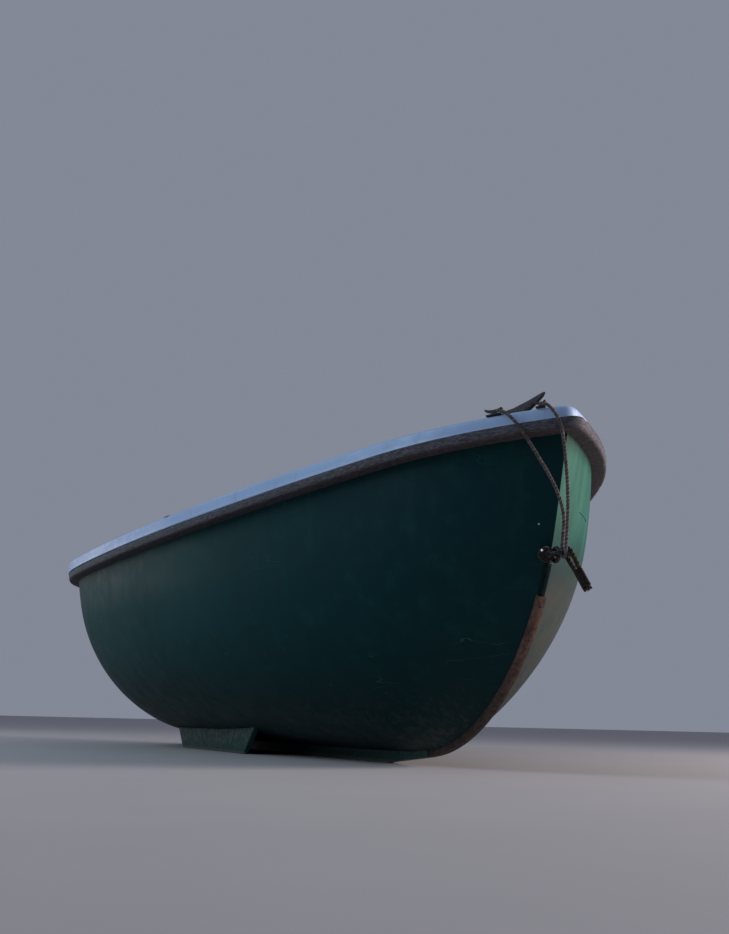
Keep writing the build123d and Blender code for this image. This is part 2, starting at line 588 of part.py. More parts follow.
# one leg: its fairlead, shift along the gunwale, y over the cap's edge, at the rail's top, at its foot
LEGS = (("fairlead_starboard", 9.0, -165.1, -148.8, -122.0), ("fairlead_bow", 0.0, -71.6, -58.5, -38.5))
legs = []
for name, shift, y_cap, y_top, y_foot in LEGS:
    p = fair_at[name]
    edge, off = beside(y_cap, 8.5, CAP_OUT + 9, CAP_BACK), 7.0
    for _ in range(4):                 # the slanting end stands just clear of the fairlead's face
        start = p.origin + p.z_dir * off + p.x_dir * shift + p.y_dir * 8.8
        off = 7.3 + ROPE_R * sin((edge - start).get_angle(p.z_dir) * pi / 180)
    legs.append([start, edge, beside(y_top, 4 - CAP_H, RAIL_OUT + 9.5), beside(y_foot, -CAP_H - RAIL_H - 9.8, RAIL_OUT + 8)])
yc = -2.2
mid1, mid2 = Vector(X_CROWN - 1.0, 5.5, 790), Vector(X_CROWN + 13.0, 8.5, 800)
rope_pts = legs[0] + [mid1, Vector(X_CROWN - turn, yc, Z_EYE + 14), Vector(X_CROWN - turn, yc, Z_EYE - turn), Vector(X_CROWN + turn, yc, Z_EYE - turn), Vector(X_CROWN + turn, yc, Z_EYE + 14), mid2] + legs[1][::-1]


def radii(pts, small):
    r = []
    for i in range(1, len(pts) - 1):
        p, q = pts[i] - pts[i - 1], pts[i + 1] - pts[i]
        half = p.get_angle(q) * pi / 360
        r.append(min(0.45 * min(p.length, q.length) / max(tan(half), 1e-3), small.get(i, 60.0)))
    return r


rope_rad = radii(rope_pts, {6: turn * 0.99, 7: turn * 0.99})
with BuildPart() as bridle_rope:
    with BuildLine():
        rope_line = FilletPolyline(*rope_pts, radius=rope_rad)
    with BuildSketch(Plane(origin=rope_pts[0], z_dir=rope_pts[1] - rope_pts[0])):
        Circle(ROPE_R)
    sweep(path=rope_line)
print("bridle length", round(rope_line.length, 1), "radii", [round(r, 1) for r in rope_rad], "volume ratio", round(bridle_rope.part.volume / (pi * ROPE_R ** 2 * rope_line.length), 4))
print("bridle points", [tuple(round(c, 2) for c in q) for q in rope_pts])
print("strop points", [tuple(round(c, 2) for c in q) for q in strop_pts])

# ---- write the pieces ----------------------------------------------------------------------------------
for label, piece in list(thwart_parts.items()) + list(fair_parts.items()):
    piece.label = label
    export_step(piece, "parts/%s.step" % label)
hull_shell.part.label = "hull_shell"
export_step(hull_shell.part, "parts/hull_shell.step")
gunwale_cap.part.label = "gunwale_cap"
export_step(gunwale_cap.part, "parts/gunwale_cap.step")
rub_rail.part.label = "rub_rail"
export_step(rub_rail.part, "parts/rub_rail.step")
transom_cap.part.label = "transom_cap"
export_step(transom_cap.part, "parts/transom_cap.step")
rowlock_sockets.part.label = "rowlock_sockets"
export_step(rowlock_sockets.part, "parts/rowlock_sockets.step")
keel.part.label = "keel"
export_step(keel.part, "parts/keel.step")
stem_band.part.label = "stem_band"
export_step(stem_band.part, "parts/stem_band.step")
bilge_keels.part.label = "bilge_keels"
export_step(bilge_keels.part, "parts/bilge_keels.step")
foredeck.part.label = "foredeck"
export_step(foredeck.part, "parts/foredeck.step")
bow_bulkhead.part.label = "bow_bulkhead"
export_step(bow_bulkhead.part, "parts/bow_bulkhead.step")
thwart_risers.part.label = "thwart_risers"
export_step(thwart_risers.part, "parts/thwart_risers.step")
thwart_posts.part.label = "thwart_posts"
export_step(thwart_posts.part, "parts/thwart_posts.step")
floorboards.part.label = "floorboards"
export_step(floorboards.part, "parts/floorboards.step")
floor_bearers.part.label = "floor_bearers"
export_step(floor_bearers.part, "parts/floor_bearers.step")
foot_stretcher.part.label = "foot_stretcher"
export_step(foot_stretcher.part, "parts/foot_stretcher.step")
stern_locker.part.label = "stern_locker"
export_step(stern_locker.part, "parts/stern_locker.step")
locker_lid.part.label = "locker_lid"
export_step(locker_lid.part, "parts/locker_lid.step")
locker_hinges.part.label = "locker_hinges"
export_step(locker_hinges.part, "parts/locker_hinges.step")
lid_leaves.part.label = "lid_leaves"
export_step(lid_leaves.part, "parts/lid_leaves.step")
quarter_knees.part.label = "quarter_knees"
export_step(quarter_knees.part, "parts/quarter_knees.step")
drain_plug.part.label = "drain_plug"
export_step(drain_plug.part, "parts/drain_plug.step")
stern_handles.part.label = "stern_handles"
export_step(stern_handles.part, "parts/stern_handles.step")
stem_eye.part.label = "stem_eye"
export_step(stem_eye.part, "parts/stem_eye.step")
shackle.part.label = "shackle"
export_step(shackle.part, "parts/shackle.step")
stem_lashing.part.label = "stem_lashing"
export_step(stem_lashing.part, "parts/stem_lashing.step")
cleat_pad.part.label = "cleat_pad"
export_step(cleat_pad.part, "parts/cleat_pad.step")
mooring_cleat.part.label = "mooring_cleat"
export_step(mooring_cleat.part, "parts/mooring_cleat.step")
strop.part.label = "strop"
export_step(strop.part, "parts/strop.step")
bridle_rope.part.label = "bridle_rope"
export_step(bridle_rope.part, "parts/bridle_rope.step")

low, high = Vector(1e9, 1e9, 1e9), Vector(-1e9, -1e9, -1e9)
for piece in [hull_shell.part, gunwale_cap.part, rub_rail.part, keel.part, bilge_keels.part, stern_handles.part, drain_plug.part, mooring_cleat.part]:
    b = piece.bounding_box()
    low = Vector(min(low.X, b.min.X), min(low.Y, b.min.Y), min(low.Z, b.min.Z))
    high = Vector(max(high.X, b.max.X), max(high.Y, b.max.Y), max(high.Z, b.max.Z))
print("box", low, high, "middle of x", round((low.X + high.X) / 2, 2))
print("lid hinge", X_HINGE, Z_HINGE, "sockets", [tuple(round(c, 2) for c in p.origin) + tuple(round(c, 5) for c in p.z_dir) for p in socket_planes])
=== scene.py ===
import random
from math import sin, cos, tan, radians, sqrt, pi, atan2, asin
import bpy
import bmesh
import numpy as np
from mathutils import Vector, Matrix


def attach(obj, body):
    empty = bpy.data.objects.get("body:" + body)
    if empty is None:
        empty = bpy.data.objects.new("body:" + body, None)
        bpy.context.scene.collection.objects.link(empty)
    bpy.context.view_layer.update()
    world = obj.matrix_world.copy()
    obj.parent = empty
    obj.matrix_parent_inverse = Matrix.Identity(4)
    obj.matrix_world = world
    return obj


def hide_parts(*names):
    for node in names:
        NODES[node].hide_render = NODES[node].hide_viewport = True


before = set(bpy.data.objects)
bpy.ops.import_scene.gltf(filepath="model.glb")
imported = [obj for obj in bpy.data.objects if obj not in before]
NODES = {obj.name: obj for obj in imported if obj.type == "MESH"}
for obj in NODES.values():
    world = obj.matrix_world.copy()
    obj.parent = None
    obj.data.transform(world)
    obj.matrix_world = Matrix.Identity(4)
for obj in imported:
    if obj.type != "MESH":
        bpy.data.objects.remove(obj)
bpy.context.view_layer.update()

COL = bpy.context.scene.collection

# ---- camera ------------------------------------------------------------------
# Position, yaw, pitch and roll fitted to the photograph, frame 729 x 934.
CAM_AT = Vector((5.1088, -1.911, 0.1465))
YAW, PITCH, ROLL = radians(67.8811), radians(11.4252), radians(1.3975)
flat = Vector((-sin(YAW), cos(YAW), 0))
right0 = Vector((cos(YAW), sin(YAW), 0))
fwd = flat * cos(PITCH) + Vector((0, 0, 1)) * sin(PITCH)
up0 = -flat * sin(PITCH) + Vector((0, 0, 1)) * cos(PITCH)
right = right0 * cos(ROLL) + up0 * sin(ROLL)
up = -right0 * sin(ROLL) + up0 * cos(ROLL)
cam = bpy.data.cameras.new("camera")
cam.lens, cam.sensor_width, cam.sensor_fit = 48.486, 36.0, "AUTO"
cam.clip_start, cam.clip_end = 0.05, 200
cam_ob = bpy.data.objects.new("camera", cam)
COL.objects.link(cam_ob)
rot = Matrix((right, up, -fwd)).transposed()
cam_ob.matrix_world = Matrix.Translation(CAM_AT) @ rot.to_4x4()
bpy.context.scene.camera = cam_ob
bpy.context.scene.view_settings.view_transform = "Standard"
bpy.context.scene.view_settings.look = "None"

# ---- light, floor --------------------------------------------------------------


def area(name, at, to, size, watt, colour):
    d = bpy.data.lights.new(name, "AREA")
    d.shape, d.size, d.energy, d.color = "DISK", size, watt, colour
    o = bpy.data.objects.new(name, d)
    o.location = at
    o.rotation_euler = (Vector(to) - Vector(at)).to_track_quat("-Z", "Y").to_euler()
    COL.objects.link(o)


area("key", (3.6, 6.2, 1.9), (1.6, 0.0, 0.6), 2.6, 620, (1.0, 0.86, 0.80))
area("fill", (-0.6, -6.5, 5.0), (-0.4, 0.0, 0.5), 5.0, 190, (0.72, 0.90, 1.0))
area("rim", (-5.5, -3.2, 1.6), (-1.4, -0.4, 0.7), 2.0, 18, (1.0, 0.84, 0.78))

world = bpy.data.worlds.new("studio")
world.use_nodes = True
bg = world.node_tree.nodes["Background"]
bg.inputs[0].default_value = (0.37, 0.40, 0.50, 1)
bg.inputs[1].default_value = 0.62
bpy.context.scene.world = world


# ---- node helpers -----------------------------------------------------------------


class Mat:
    """A procedural material whose patterns lie in the piece's own metres."""

    def __init__(self, name, rough=0.5, metal=0.0, spec=0.5, coat=0.0, coat_rough=0.2, sheen=0.0):
        self.m = bpy.data.materials.new(name)
        self.m.use_nodes = True
        self.t = self.m.node_tree
        self.t.nodes.clear()
        self.out = self.t.nodes.new("ShaderNodeOutputMaterial")
        self.b = self.t.nodes.new("ShaderNodeBsdfPrincipled")
        self.link(self.b.outputs[0], self.out.inputs[0])
        self.b.inputs["Roughness"].default_value = rough
        self.b.inputs["Metallic"].default_value = metal
        self.b.inputs["Specular IOR Level"].default_value = spec
        self.b.inputs["Coat Weight"].default_value = coat
        self.b.inputs["Coat Roughness"].default_value = coat_rough
        self.b.inputs["Sheen Weight"].default_value = sheen
        self.tc = self.t.nodes.new("ShaderNodeTexCoord")
        self.co = self.tc.outputs["Object"]
        self.uv = self.tc.outputs["UV"]

    def link(self, a, b):
        self.t.links.new(a, b)

    def put(self, sock, v):
        if isinstance(v, bpy.types.NodeSocket):
            self.link(v, sock)
        elif isinstance(v, (tuple, list)) and len(v) == 3 and sock.type == "RGBA":
            sock.default_value = (*v, 1)
        else:
            sock.default_value = v

    def scaled(self, s, vec=None, rot=(0, 0, 0), at=(0, 0, 0)):
        n = self.t.nodes.new("ShaderNodeMapping")
        self.link(vec or self.co, n.inputs[0])
        n.inputs["Scale"].default_value = s
        n.inputs["Rotation"].default_value = rot
        n.inputs["Location"].default_value = at
        return n.outputs[0]

    def noise(self, scale, detail=4.0, rough=0.55, vec=None, warp=0.0):
        n = self.t.nodes.new("ShaderNodeTexNoise")
        self.link(vec or self.co, n.inputs["Vector"])
        n.inputs["Scale"].default_value = scale
        n.inputs["Detail"].default_value = detail
        n.inputs["Roughness"].default_value = rough
        n.inputs["Distortion"].default_value = warp
        return n.outputs["Fac"]

    def cells(self, scale, vec=None, feature="F1", out="Distance"):
        n = self.t.nodes.new("ShaderNodeTexVoronoi")
        n.feature = feature
        self.link(vec or self.co, n.inputs["Vector"])
        n.inputs["Scale"].default_value = scale
        return n.outputs[out]

    def wave(self, scale, vec=None, direction="X", warp=0.0, detail=2.0, detail_scale=1.0):
        n = self.t.nodes.new("ShaderNodeTexWave")
        n.bands_direction = direction
        self.link(vec or self.co, n.inputs["Vector"])
        n.inputs["Scale"].default_value = scale
        n.inputs["Distortion"].default_value = warp
        n.inputs["Detail"].default_value = detail
        n.inputs["Detail Scale"].default_value = detail_scale
        return n.outputs["Fac"]

    def ramp(self, f, lo, hi, a=0.0, b=1.0):
        n = self.t.nodes.new("ShaderNodeMapRange")
        n.interpolation_type = "SMOOTHSTEP"
        self.put(n.inputs["Value"], f)
        for k, v in (("From Min", lo), ("From Max", hi), ("To Min", a), ("To Max", b)):
            n.inputs[k].default_value = v
        return n.outputs["Result"]

    def mix(self, f, a, b, mode="MIX"):
        n = self.t.nodes.new("ShaderNodeMix")
        n.data_type, n.blend_type = "RGBA", mode
        self.put(n.inputs["Factor"], f)
        self.put(n.inputs[6], a)
        self.put(n.inputs[7], b)
        return n.outputs[2]

    def calc(self, op, a, b=0.5):
        n = self.t.nodes.new("ShaderNodeMath")
        n.operation = op
        self.put(n.inputs[0], a)
        self.put(n.inputs[1], b)
        return n.outputs[0]

    def part(self, axis, vec=None):
        n = self.t.nodes.new("ShaderNodeSeparateXYZ")
        self.link(vec or self.co, n.inputs[0])
        return n.outputs[axis]

    def bump(self, height, dist, strength=1.0):
        n = self.t.nodes.new("ShaderNodeBump")
        n.inputs["Distance"].default_value = dist
        n.inputs["Strength"].default_value = strength
        self.link(height, n.inputs["Height"])
        src = self.b.inputs["Normal"].links
        if src:
            self.link(src[0].from_socket, n.inputs["Normal"])
        self.link(n.outputs[0], self.b.inputs["Normal"])

    def colour(self, c):
        self.put(self.b.inputs["Base Color"], c)

    def rough(self, r):
        self.put(self.b.inputs["Roughness"], r)


# ---- materials -----------------------------------------------------------------------


def hull_paint(name):
    """Teal gelcoat outside, with painted light and shade: darker towards the bow and low down, lighter green on the
    upper port bow, a painted shadow under the rail and painted grey on the lower port bow; pale flecked gelcoat on the
    faces that look inwards.
    """
    m = Mat(name, rough=0.55, spec=0.10)
    big = m.noise(1.6, 3)
    mid = m.noise(14, 5, 0.6)
    teal = m.mix(m.ramp(big, 0.3, 0.7), (0.0014, 0.044, 0.046), (0.0026, 0.058, 0.058))
    # Painted shade: the teal darkens towards the bow.
    teal = m.mix(m.ramp(m.part(0), -0.3, 1.7), teal, (0.0010, 0.027, 0.031))
    teal = m.mix(m.calc("MULTIPLY", m.ramp(mid, 0.45, 0.8), 0.30), teal, (0.010, 0.080, 0.070))
    runs = m.noise(9, 4, 0.55, vec=m.scaled((1.0, 1.0, 0.09)))
    teal = m.mix(m.calc("MULTIPLY", m.ramp(runs, 0.55, 0.75), 0.25), teal, (0.015, 0.060, 0.052))
    port = m.ramp(m.part(1), -0.004, 0.004)
    bow = m.calc("MULTIPLY", port, m.ramp(m.part(0), 0.4, 1.2))
    # Painted light: a lighter, streaked green on the upper port bow, where the key light falls.
    streak = m.noise(16, 5, 0.6, vec=m.scaled((1.0, 1.0, 0.05)))
    lit = m.mix(m.ramp(streak, 0.35, 0.68), (0.008, 0.075, 0.054), (0.026, 0.132, 0.096))
    teal = m.mix(m.calc("MULTIPLY", bow, m.ramp(m.part(2), 0.55, 0.82)), teal, lit)
    # Painted shadow: a darker band just under the rail's foot on the port bow.
    foot = m.calc("SUBTRACT", m.part(2), m.calc("MULTIPLY", m.part(0), 0.103))        # the rail's foot is at 0.78
    teal = m.mix(m.calc("MULTIPLY", m.calc("MULTIPLY", bow, m.ramp(foot, 0.735, 0.785)), 0.72), teal, (0.004, 0.026, 0.021))
    # Painted light: the lower port bow turned grey, where the light falls off and the surface reflects differently.
    painted_grey_lower_bow = m.mix(m.ramp(m.noise(9, 6, 0.65), 0.35, 0.65), (0.056, 0.056, 0.047), (0.036, 0.050, 0.044))
    teal = m.mix(m.calc("MULTIPLY", m.calc("MULTIPLY", bow, m.ramp(m.part(2), 0.72, 0.50)), 0.85), teal, painted_grey_lower_bow)
    # Painted shade: the teal darkens low down on the hull.
    teal = m.mix(m.ramp(m.part(2), 0.10, 0.52, 0.60, 0.0), teal, (0.0008, 0.012, 0.014))
    low = m.ramp(m.part(2), 0.05, 0.30, 1.0, 0.0)
    sand = m.calc("MULTIPLY", low, m.ramp(m.noise(38, 6, 0.7), 0.46, 0.66))
    teal = m.mix(m.calc("MULTIPLY", sand, 0.45), teal, (0.085, 0.075, 0.060))
    chip = m.calc("MULTIPLY", m.ramp(m.cells(42), 0.045, 0.03), m.ramp(m.noise(3.1, 2), 0.56, 0.62))
    teal = m.mix(chip, teal, (0.18, 0.22, 0.21))
    line = m.ramp(m.calc("ABSOLUTE", m.calc("SUBTRACT", m.noise(2.3, 2, 0.4, vec=m.scaled((1.0, 1.0, 5.5), rot=(0.1, 0.25, 0.0))), 0.5)), 0.0016, 0.0004)
    line = m.calc("MULTIPLY", line, m.ramp(m.noise(1.9, 1), 0.55, 0.62))
    teal = m.mix(m.calc("MULTIPLY", line, 0.5), teal, (0.05, 0.12, 0.11))
    g = m.t.nodes.new("ShaderNodeNewGeometry")
    rel = m.t.nodes.new("ShaderNodeVectorMath")
    rel.operation = "SUBTRACT"
    m.link(m.co, rel.inputs[0])
    rel.inputs[1].default_value = (-0.2, 0.0, 1.3)
    dot = m.t.nodes.new("ShaderNodeVectorMath")
    dot.operation = "DOT_PRODUCT"
    m.link(rel.outputs[0], dot.inputs[0])
    m.link(g.outputs["True Normal"], dot.inputs[1])
    inner = m.ramp(dot.outputs["Value"], 0.02, -0.02)
    fleck = m.ramp(m.cells(230), 0.20, 0.12)
    pale = m.mix(m.ramp(m.noise(3.0, 4), 0.3, 0.7), (0.36, 0.39, 0.39), (0.44, 0.47, 0.47))
    pale = m.mix(m.calc("MULTIPLY", fleck, 0.5), pale, (0.16, 0.20, 0.21))
    dirt = m.calc("MULTIPLY", m.ramp(m.part(2), 0.10, 0.42, 1.0, 0.15), m.ramp(m.noise(11, 6, 0.65), 0.42, 0.68))
    pale = m.mix(m.calc("MULTIPLY", dirt, 0.65), pale, (0.115, 0.10, 0.08))
    m.colour(m.mix(inner, teal, pale))
    m.rough(m.ramp(mid, 0.2, 0.8, 0.44, 0.60))
    m.bump(m.noise(5.0, 2), 0.0012, 0.5)
    m.bump(m.noise(900, 2), 0.00005, 0.4)
    return m.m


def white_gel(name, ticks=False):
    m = Mat(name, rough=0.38, spec=0.4)
    # The white gelcoat's base colour is painted blue: a painted reflection of the sky.
    base = m.mix(m.ramp(m.noise(2.2, 4), 0.3, 0.7), (0.31, 0.46, 0.72), (0.38, 0.54, 0.81))
    streak = m.ramp(m.noise(26, 5, 0.6, vec=m.scaled((1.0, 1.0, 0.12))), 0.52, 0.74)
    base = m.mix(m.calc("MULTIPLY", streak, 0.28), base, (0.26, 0.29, 0.32))
    grime = m.ramp(m.noise(85, 6, 0.7), 0.56, 0.72)
    base = m.mix(m.calc("MULTIPLY", grime, 0.22), base, (0.22, 0.22, 0.21))
    spots = m.calc("MULTIPLY", m.ramp(m.cells(70), 0.10, 0.06), m.ramp(m.noise(6, 2), 0.52, 0.6))
    base = m.mix(m.calc("MULTIPLY", spots, 0.7), base, (0.12, 0.12, 0.12))
    if ticks:
        where = m.calc("MULTIPLY", m.ramp(m.part(0), -1.05, -0.80, 1.0, 0.0), m.ramp(m.part(0), -1.75, -1.6, 0.0, 1.0))
        cut = m.ramp(m.noise(95, 3, 0.5, vec=m.scaled((1.0, 0.25, 0.10))), 0.60, 0.66)
        base = m.mix(m.calc("MULTIPLY", m.calc("MULTIPLY", where, cut), 0.65), base, (0.13, 0.15, 0.19))
    m.colour(base)
    m.rough(m.ramp(m.noise(30, 4), 0.3, 0.7, 0.30, 0.52))
    m.bump(m.noise(60, 5, 0.6), 0.0004, 0.5)
    return m.m


def deck_gel(name, grip=True):
    m = Mat(name, rough=0.55, spec=0.35)
    base = m.mix(m.ramp(m.noise(2.6, 4), 0.3, 0.7), (0.40, 0.44, 0.46), (0.50, 0.54, 0.56))
    grime = m.ramp(m.noise(16, 7, 0.7), 0.46, 0.70)
    base = m.mix(m.calc("MULTIPLY", grime, 0.42), base, (0.17, 0.165, 0.15))
    if grip:
        dots = m.ramp(m.cells(210), 0.55, 0.25)
        base = m.mix(m.calc("MULTIPLY", m.calc("SUBTRACT", 1.0, dots), 0.25), base, (0.20, 0.20, 0.19))
        m.bump(dots, 0.0006, 0.8)
    m.colour(base)
    m.rough(m.ramp(m.noise(24, 4), 0.3, 0.7, 0.45, 0.68))
    m.bump(m.noise(45, 5, 0.6), 0.0005, 0.5)
    return m.m


def rail_stuff(name):
    """Grey-brown weathered rubbing rail, with painted shade on its underside: streaks run along it."""
    m = Mat(name, rough=0.78, spec=0.25)
    along = m.scaled((1.6, 9.0, 1.0), vec=m.uv)
    fibre = m.noise(30, 6, 0.66, vec=along, warp=0.5)
    base = m.mix(m.ramp(fibre, 0.36, 0.66), (0.040, 0.042, 0.054), (0.140, 0.142, 0.170))
    patch = m.noise(7, 5, 0.6, vec=m.scaled((1.0, 2.0, 1.0), vec=m.uv))
    base = m.mix(m.calc("MULTIPLY", m.ramp(patch, 0.42, 0.7), 0.5), base, (0.100, 0.080, 0.080))
    g = m.t.nodes.new("ShaderNodeNewGeometry")
    # Painted shade: faces that look downwards are painted darker and browner.
    down = m.ramp(m.part(2, g.outputs["Normal"]), -0.25, -0.85)
    base = m.mix(m.calc("MULTIPLY", down, 0.8), base, m.mix(m.ramp(m.noise(60, 6, 0.7), 0.35, 0.65), (0.050, 0.038, 0.042), (0.100, 0.080, 0.084)))
    crack = m.ramp(m.calc("ABSOLUTE", m.calc("SUBTRACT", m.noise(22, 4, 0.6, vec=m.scaled((0.5, 9.0, 1.0), vec=m.uv)), 0.5)), 0.012, 0.002)
    base = m.mix(m.calc("MULTIPLY", crack, 0.7), base, (0.018, 0.014, 0.014))
    aft = m.ramp(m.part(0), 0.6, -1.6, 0.0, 0.55)          # paler, greyer towards the stern
    base = m.mix(m.calc("MULTIPLY", aft, m.calc("SUBTRACT", 1.0, down)), base, m.mix(m.ramp(fibre, 0.36, 0.66), (0.100, 0.110, 0.120), (0.190, 0.200, 0.212)))
    m.colour(base)
    m.rough(m.ramp(fibre, 0.3, 0.7, 0.9, 0.62))
    m.bump(fibre, 0.0016, 0.8)
    m.bump(m.calc("SUBTRACT", 1.0, crack), 0.0009, 0.7)
    m.bump(m.noise(260, 4), 0.0004, 0.6)
    return m.m


def band_stuff(name):
    m = Mat(name, rough=0.7, spec=0.3, metal=0.0)
    n1 = m.noise(34, 7, 0.7)
    base = m.mix(m.ramp(n1, 0.36, 0.64), (0.045, 0.022, 0.018), (0.120, 0.062, 0.046))
    worn = m.ramp(m.noise(85, 6, 0.7), 0.55, 0.70)
    base = m.mix(m.calc("MULTIPLY", worn, 0.60), base, (0.20, 0.180, 0.16))
    # Painted shade: the band darkens towards the bottom.
    base = m.mix(m.ramp(m.part(2), 0.42, 0.12, 0.0, 0.75), base, (0.016, 0.013, 0.012))
    m.colour(base)
    m.rough(m.ramp(n1, 0.3, 0.7, 0.85, 0.55))
    m.bump(n1, 0.0016, 0.8)
    m.bump(m.noise(300, 3), 0.0003, 0.6)
    return m.m


def keel_stuff(name):
    """Gelcoat that sand has worn through towards the bottom edge."""
    m = Mat(name, rough=0.55, spec=0.3)
    teal = m.mix(m.noise(18, 4), (0.004, 0.045, 0.042), (0.010, 0.060, 0.052))
    wear = m.calc("ADD", m.ramp(m.part(2), 0.0, 0.030, 0.45, 0.0), m.calc("MULTIPLY", m.noise(42, 7, 0.7), 0.5))
    base = m.mix(m.ramp(wear, 0.50, 0.75), teal, (0.11, 0.105, 0.09))
    base = m.mix(m.calc("MULTIPLY", m.ramp(m.noise(60, 6, 0.7), 0.5, 0.7), 0.5), base, (0.10, 0.085, 0.065))
    m.colour(base)
    m.rough(m.ramp(m.noise(50, 4), 0.3, 0.7, 0.5, 0.8))
    m.bump(m.noise(90, 6, 0.7), 0.0008, 0.7)
    return m.m


def metal(name, a, b, rough, rust=0.0, scale=60, metallic=1.0):
    m = Mat(name, rough=rough, metal=metallic, spec=0.5)
    n1 = m.noise(scale, 6, 0.65)
    base = m.mix(m.ramp(n1, 0.3, 0.7), a, b)
    if rust:
        r = m.ramp(m.noise(scale * 0.7, 7, 0.72), 0.62 - 0.2 * rust, 0.70 - 0.12 * rust)
        base = m.mix(r, base, (0.105, 0.042, 0.020))
        m.put(m.b.inputs["Metallic"], m.ramp(r, 0.0, 1.0, metallic, 0.0))
        m.bump(r, 0.0004, 0.8)
    m.colour(base)
    m.rough(m.ramp(n1, 0.2, 0.8, rough - 0.1, min(rough + 0.2, 1.0)))
    m.bump(m.noise(scale * 5, 4), 0.00025, 0.6)
    return m.m


def timber(name, axis, a=(0.150, 0.078, 0.036), b=(0.245, 0.140, 0.070), wear=0.5):
    """Old varnished timber; the grain runs along `axis`."""
    m = Mat(name, rough=0.5, spec=0.4, coat=0.15, coat_rough=0.35)
    s = [9.0, 9.0, 9.0]
    s[axis] = 0.55
    g = m.scaled(tuple(s))
    rings = m.wave(2.2, vec=g, direction="Y" if axis != 1 else "X", warp=5.5, detail=4, detail_scale=1.6)
    fine = m.noise(26, 6, 0.7, vec=g)
    base = m.mix(m.ramp(rings, 0.2, 0.85), a, b)
    base = m.mix(m.calc("MULTIPLY", m.ramp(fine, 0.5, 0.75), 0.55), base, tuple(c * 0.45 for c in a))
    grey = m.calc("MULTIPLY", m.ramp(m.noise(4.2, 6, 0.65), 0.50 - 0.1 * wear, 0.66), wear)
    base = m.mix(grey, base, (0.235, 0.215, 0.190))
    m.colour(base)
    m.rough(m.ramp(grey, 0.0, 0.6, 0.40, 0.82))
    m.bump(fine, 0.0006, 0.8)
    m.bump(rings, 0.0004, 0.5)
    return m.m


def plastic(name, a, b, rough=0.5):
    m = Mat(name, rough=rough, spec=0.4)
    n1 = m.noise(70, 5, 0.6)
    m.colour(m.mix(m.ramp(n1, 0.35, 0.7), a, b))
    m.rough(m.ramp(m.noise(160, 4), 0.3, 0.7, rough - 0.1, rough + 0.15))
    m.bump(m.noise(420, 3), 0.0002, 0.6)
    return m.m


def line_stuff(name, a, b, c, scale=1.0):
    """Twisted fibres; uv runs along the strand (u, metres) and round it (v)."""
    m = Mat(name, rough=0.88, spec=0.15, sheen=0.15)
    fib = m.noise(120 * scale, 5, 0.7, vec=m.scaled((1.0, 0.12, 1.0), vec=m.uv))
    base = m.mix(m.ramp(fib, 0.32, 0.68), a, b)
    base = m.mix(m.calc("MULTIPLY", m.ramp(m.noise(26, 4), 0.48, 0.7), 0.6), base, c)
    m.colour(base)
    m.bump(fib, 0.0005, 0.9)
    m.bump(m.noise(900, 3), 0.0003, 0.8)
    return m.m


HULL = hull_paint("hull_gelcoat")
WHITE = white_gel("cap_gelcoat", True)
WHITE2 = white_gel("transom_cap_gelcoat")
DECK = deck_gel("deck_gelcoat")
SMOOTH = deck_gel("locker_gelcoat", False)
RAIL = rail_stuff("weathered_rail_surface")
BAND = band_stuff("worn_band_surface")
KEEL = keel_stuff("keel_gelcoat")
GALV = metal("galvanised_zinc", (0.34, 0.35, 0.36), (0.50, 0.51, 0.52), 0.55, 0.25, 90)
IRON = metal("blackened_iron", (0.020, 0.020, 0.024), (0.060, 0.062, 0.072), 0.45, 0.35, 110, 0.85)
BRONZE = metal("tarnished_bronze", (0.20, 0.13, 0.06), (0.36, 0.25, 0.12), 0.5, 0.0, 80)
STEEL = metal("stainless_screws", (0.45, 0.45, 0.45), (0.60, 0.60, 0.60), 0.35, 0.15, 200)
WOOD_X = timber("timber_along", 0)
WOOD_Y = timber("timber_across", 1)
WOOD_Z = timber("timber_upright", 2)
BOARD = timber("floorboard_timber", 0, (0.165, 0.115, 0.070), (0.260, 0.190, 0.125), 0.85)
PLASTIC = plastic("black_moulding", (0.012, 0.012, 0.015), (0.030, 0.030, 0.034), 0.42)
FACING = plastic("stem_facing_paint", (0.002, 0.009, 0.009), (0.006, 0.018, 0.017), 0.75)
FACING.node_tree.nodes["Principled BSDF"].inputs["Specular IOR Level"].default_value = 0.08
RUBBER = plastic("rubber_trim", (0.016, 0.016, 0.016), (0.032, 0.030, 0.028), 0.65)
ROPE = line_stuff("grey_brown_rope", (0.034, 0.029, 0.028), (0.170, 0.150, 0.146), (0.060, 0.050, 0.048))
STROP = line_stuff("tarred_rope", (0.010, 0.006, 0.004), (0.044, 0.027, 0.017), (0.022, 0.014, 0.009), 0.8)
TWINE = line_stuff("tarred_twine", (0.006, 0.004, 0.003), (0.020, 0.013, 0.010), (0.010, 0.007, 0.005), 1.4)

fl = Mat("floor_surface", rough=0.9, spec=0.2)
fl.colour(fl.mix(fl.noise(3.0, 5), (0.40, 0.39, 0.40), (0.43, 0.42, 0.43)))
me = bpy.data.meshes.new("floor")
bm = bmesh.new()
bmesh.ops.create_grid(bm, x_segments=2, y_segments=2, size=60)
bm.to_mesh(me)
bm.free()
floor = bpy.data.objects.new("floor", me)
floor.location = (0, 0, -0.0004)
me.materials.append(fl.m)
COL.objects.link(floor)

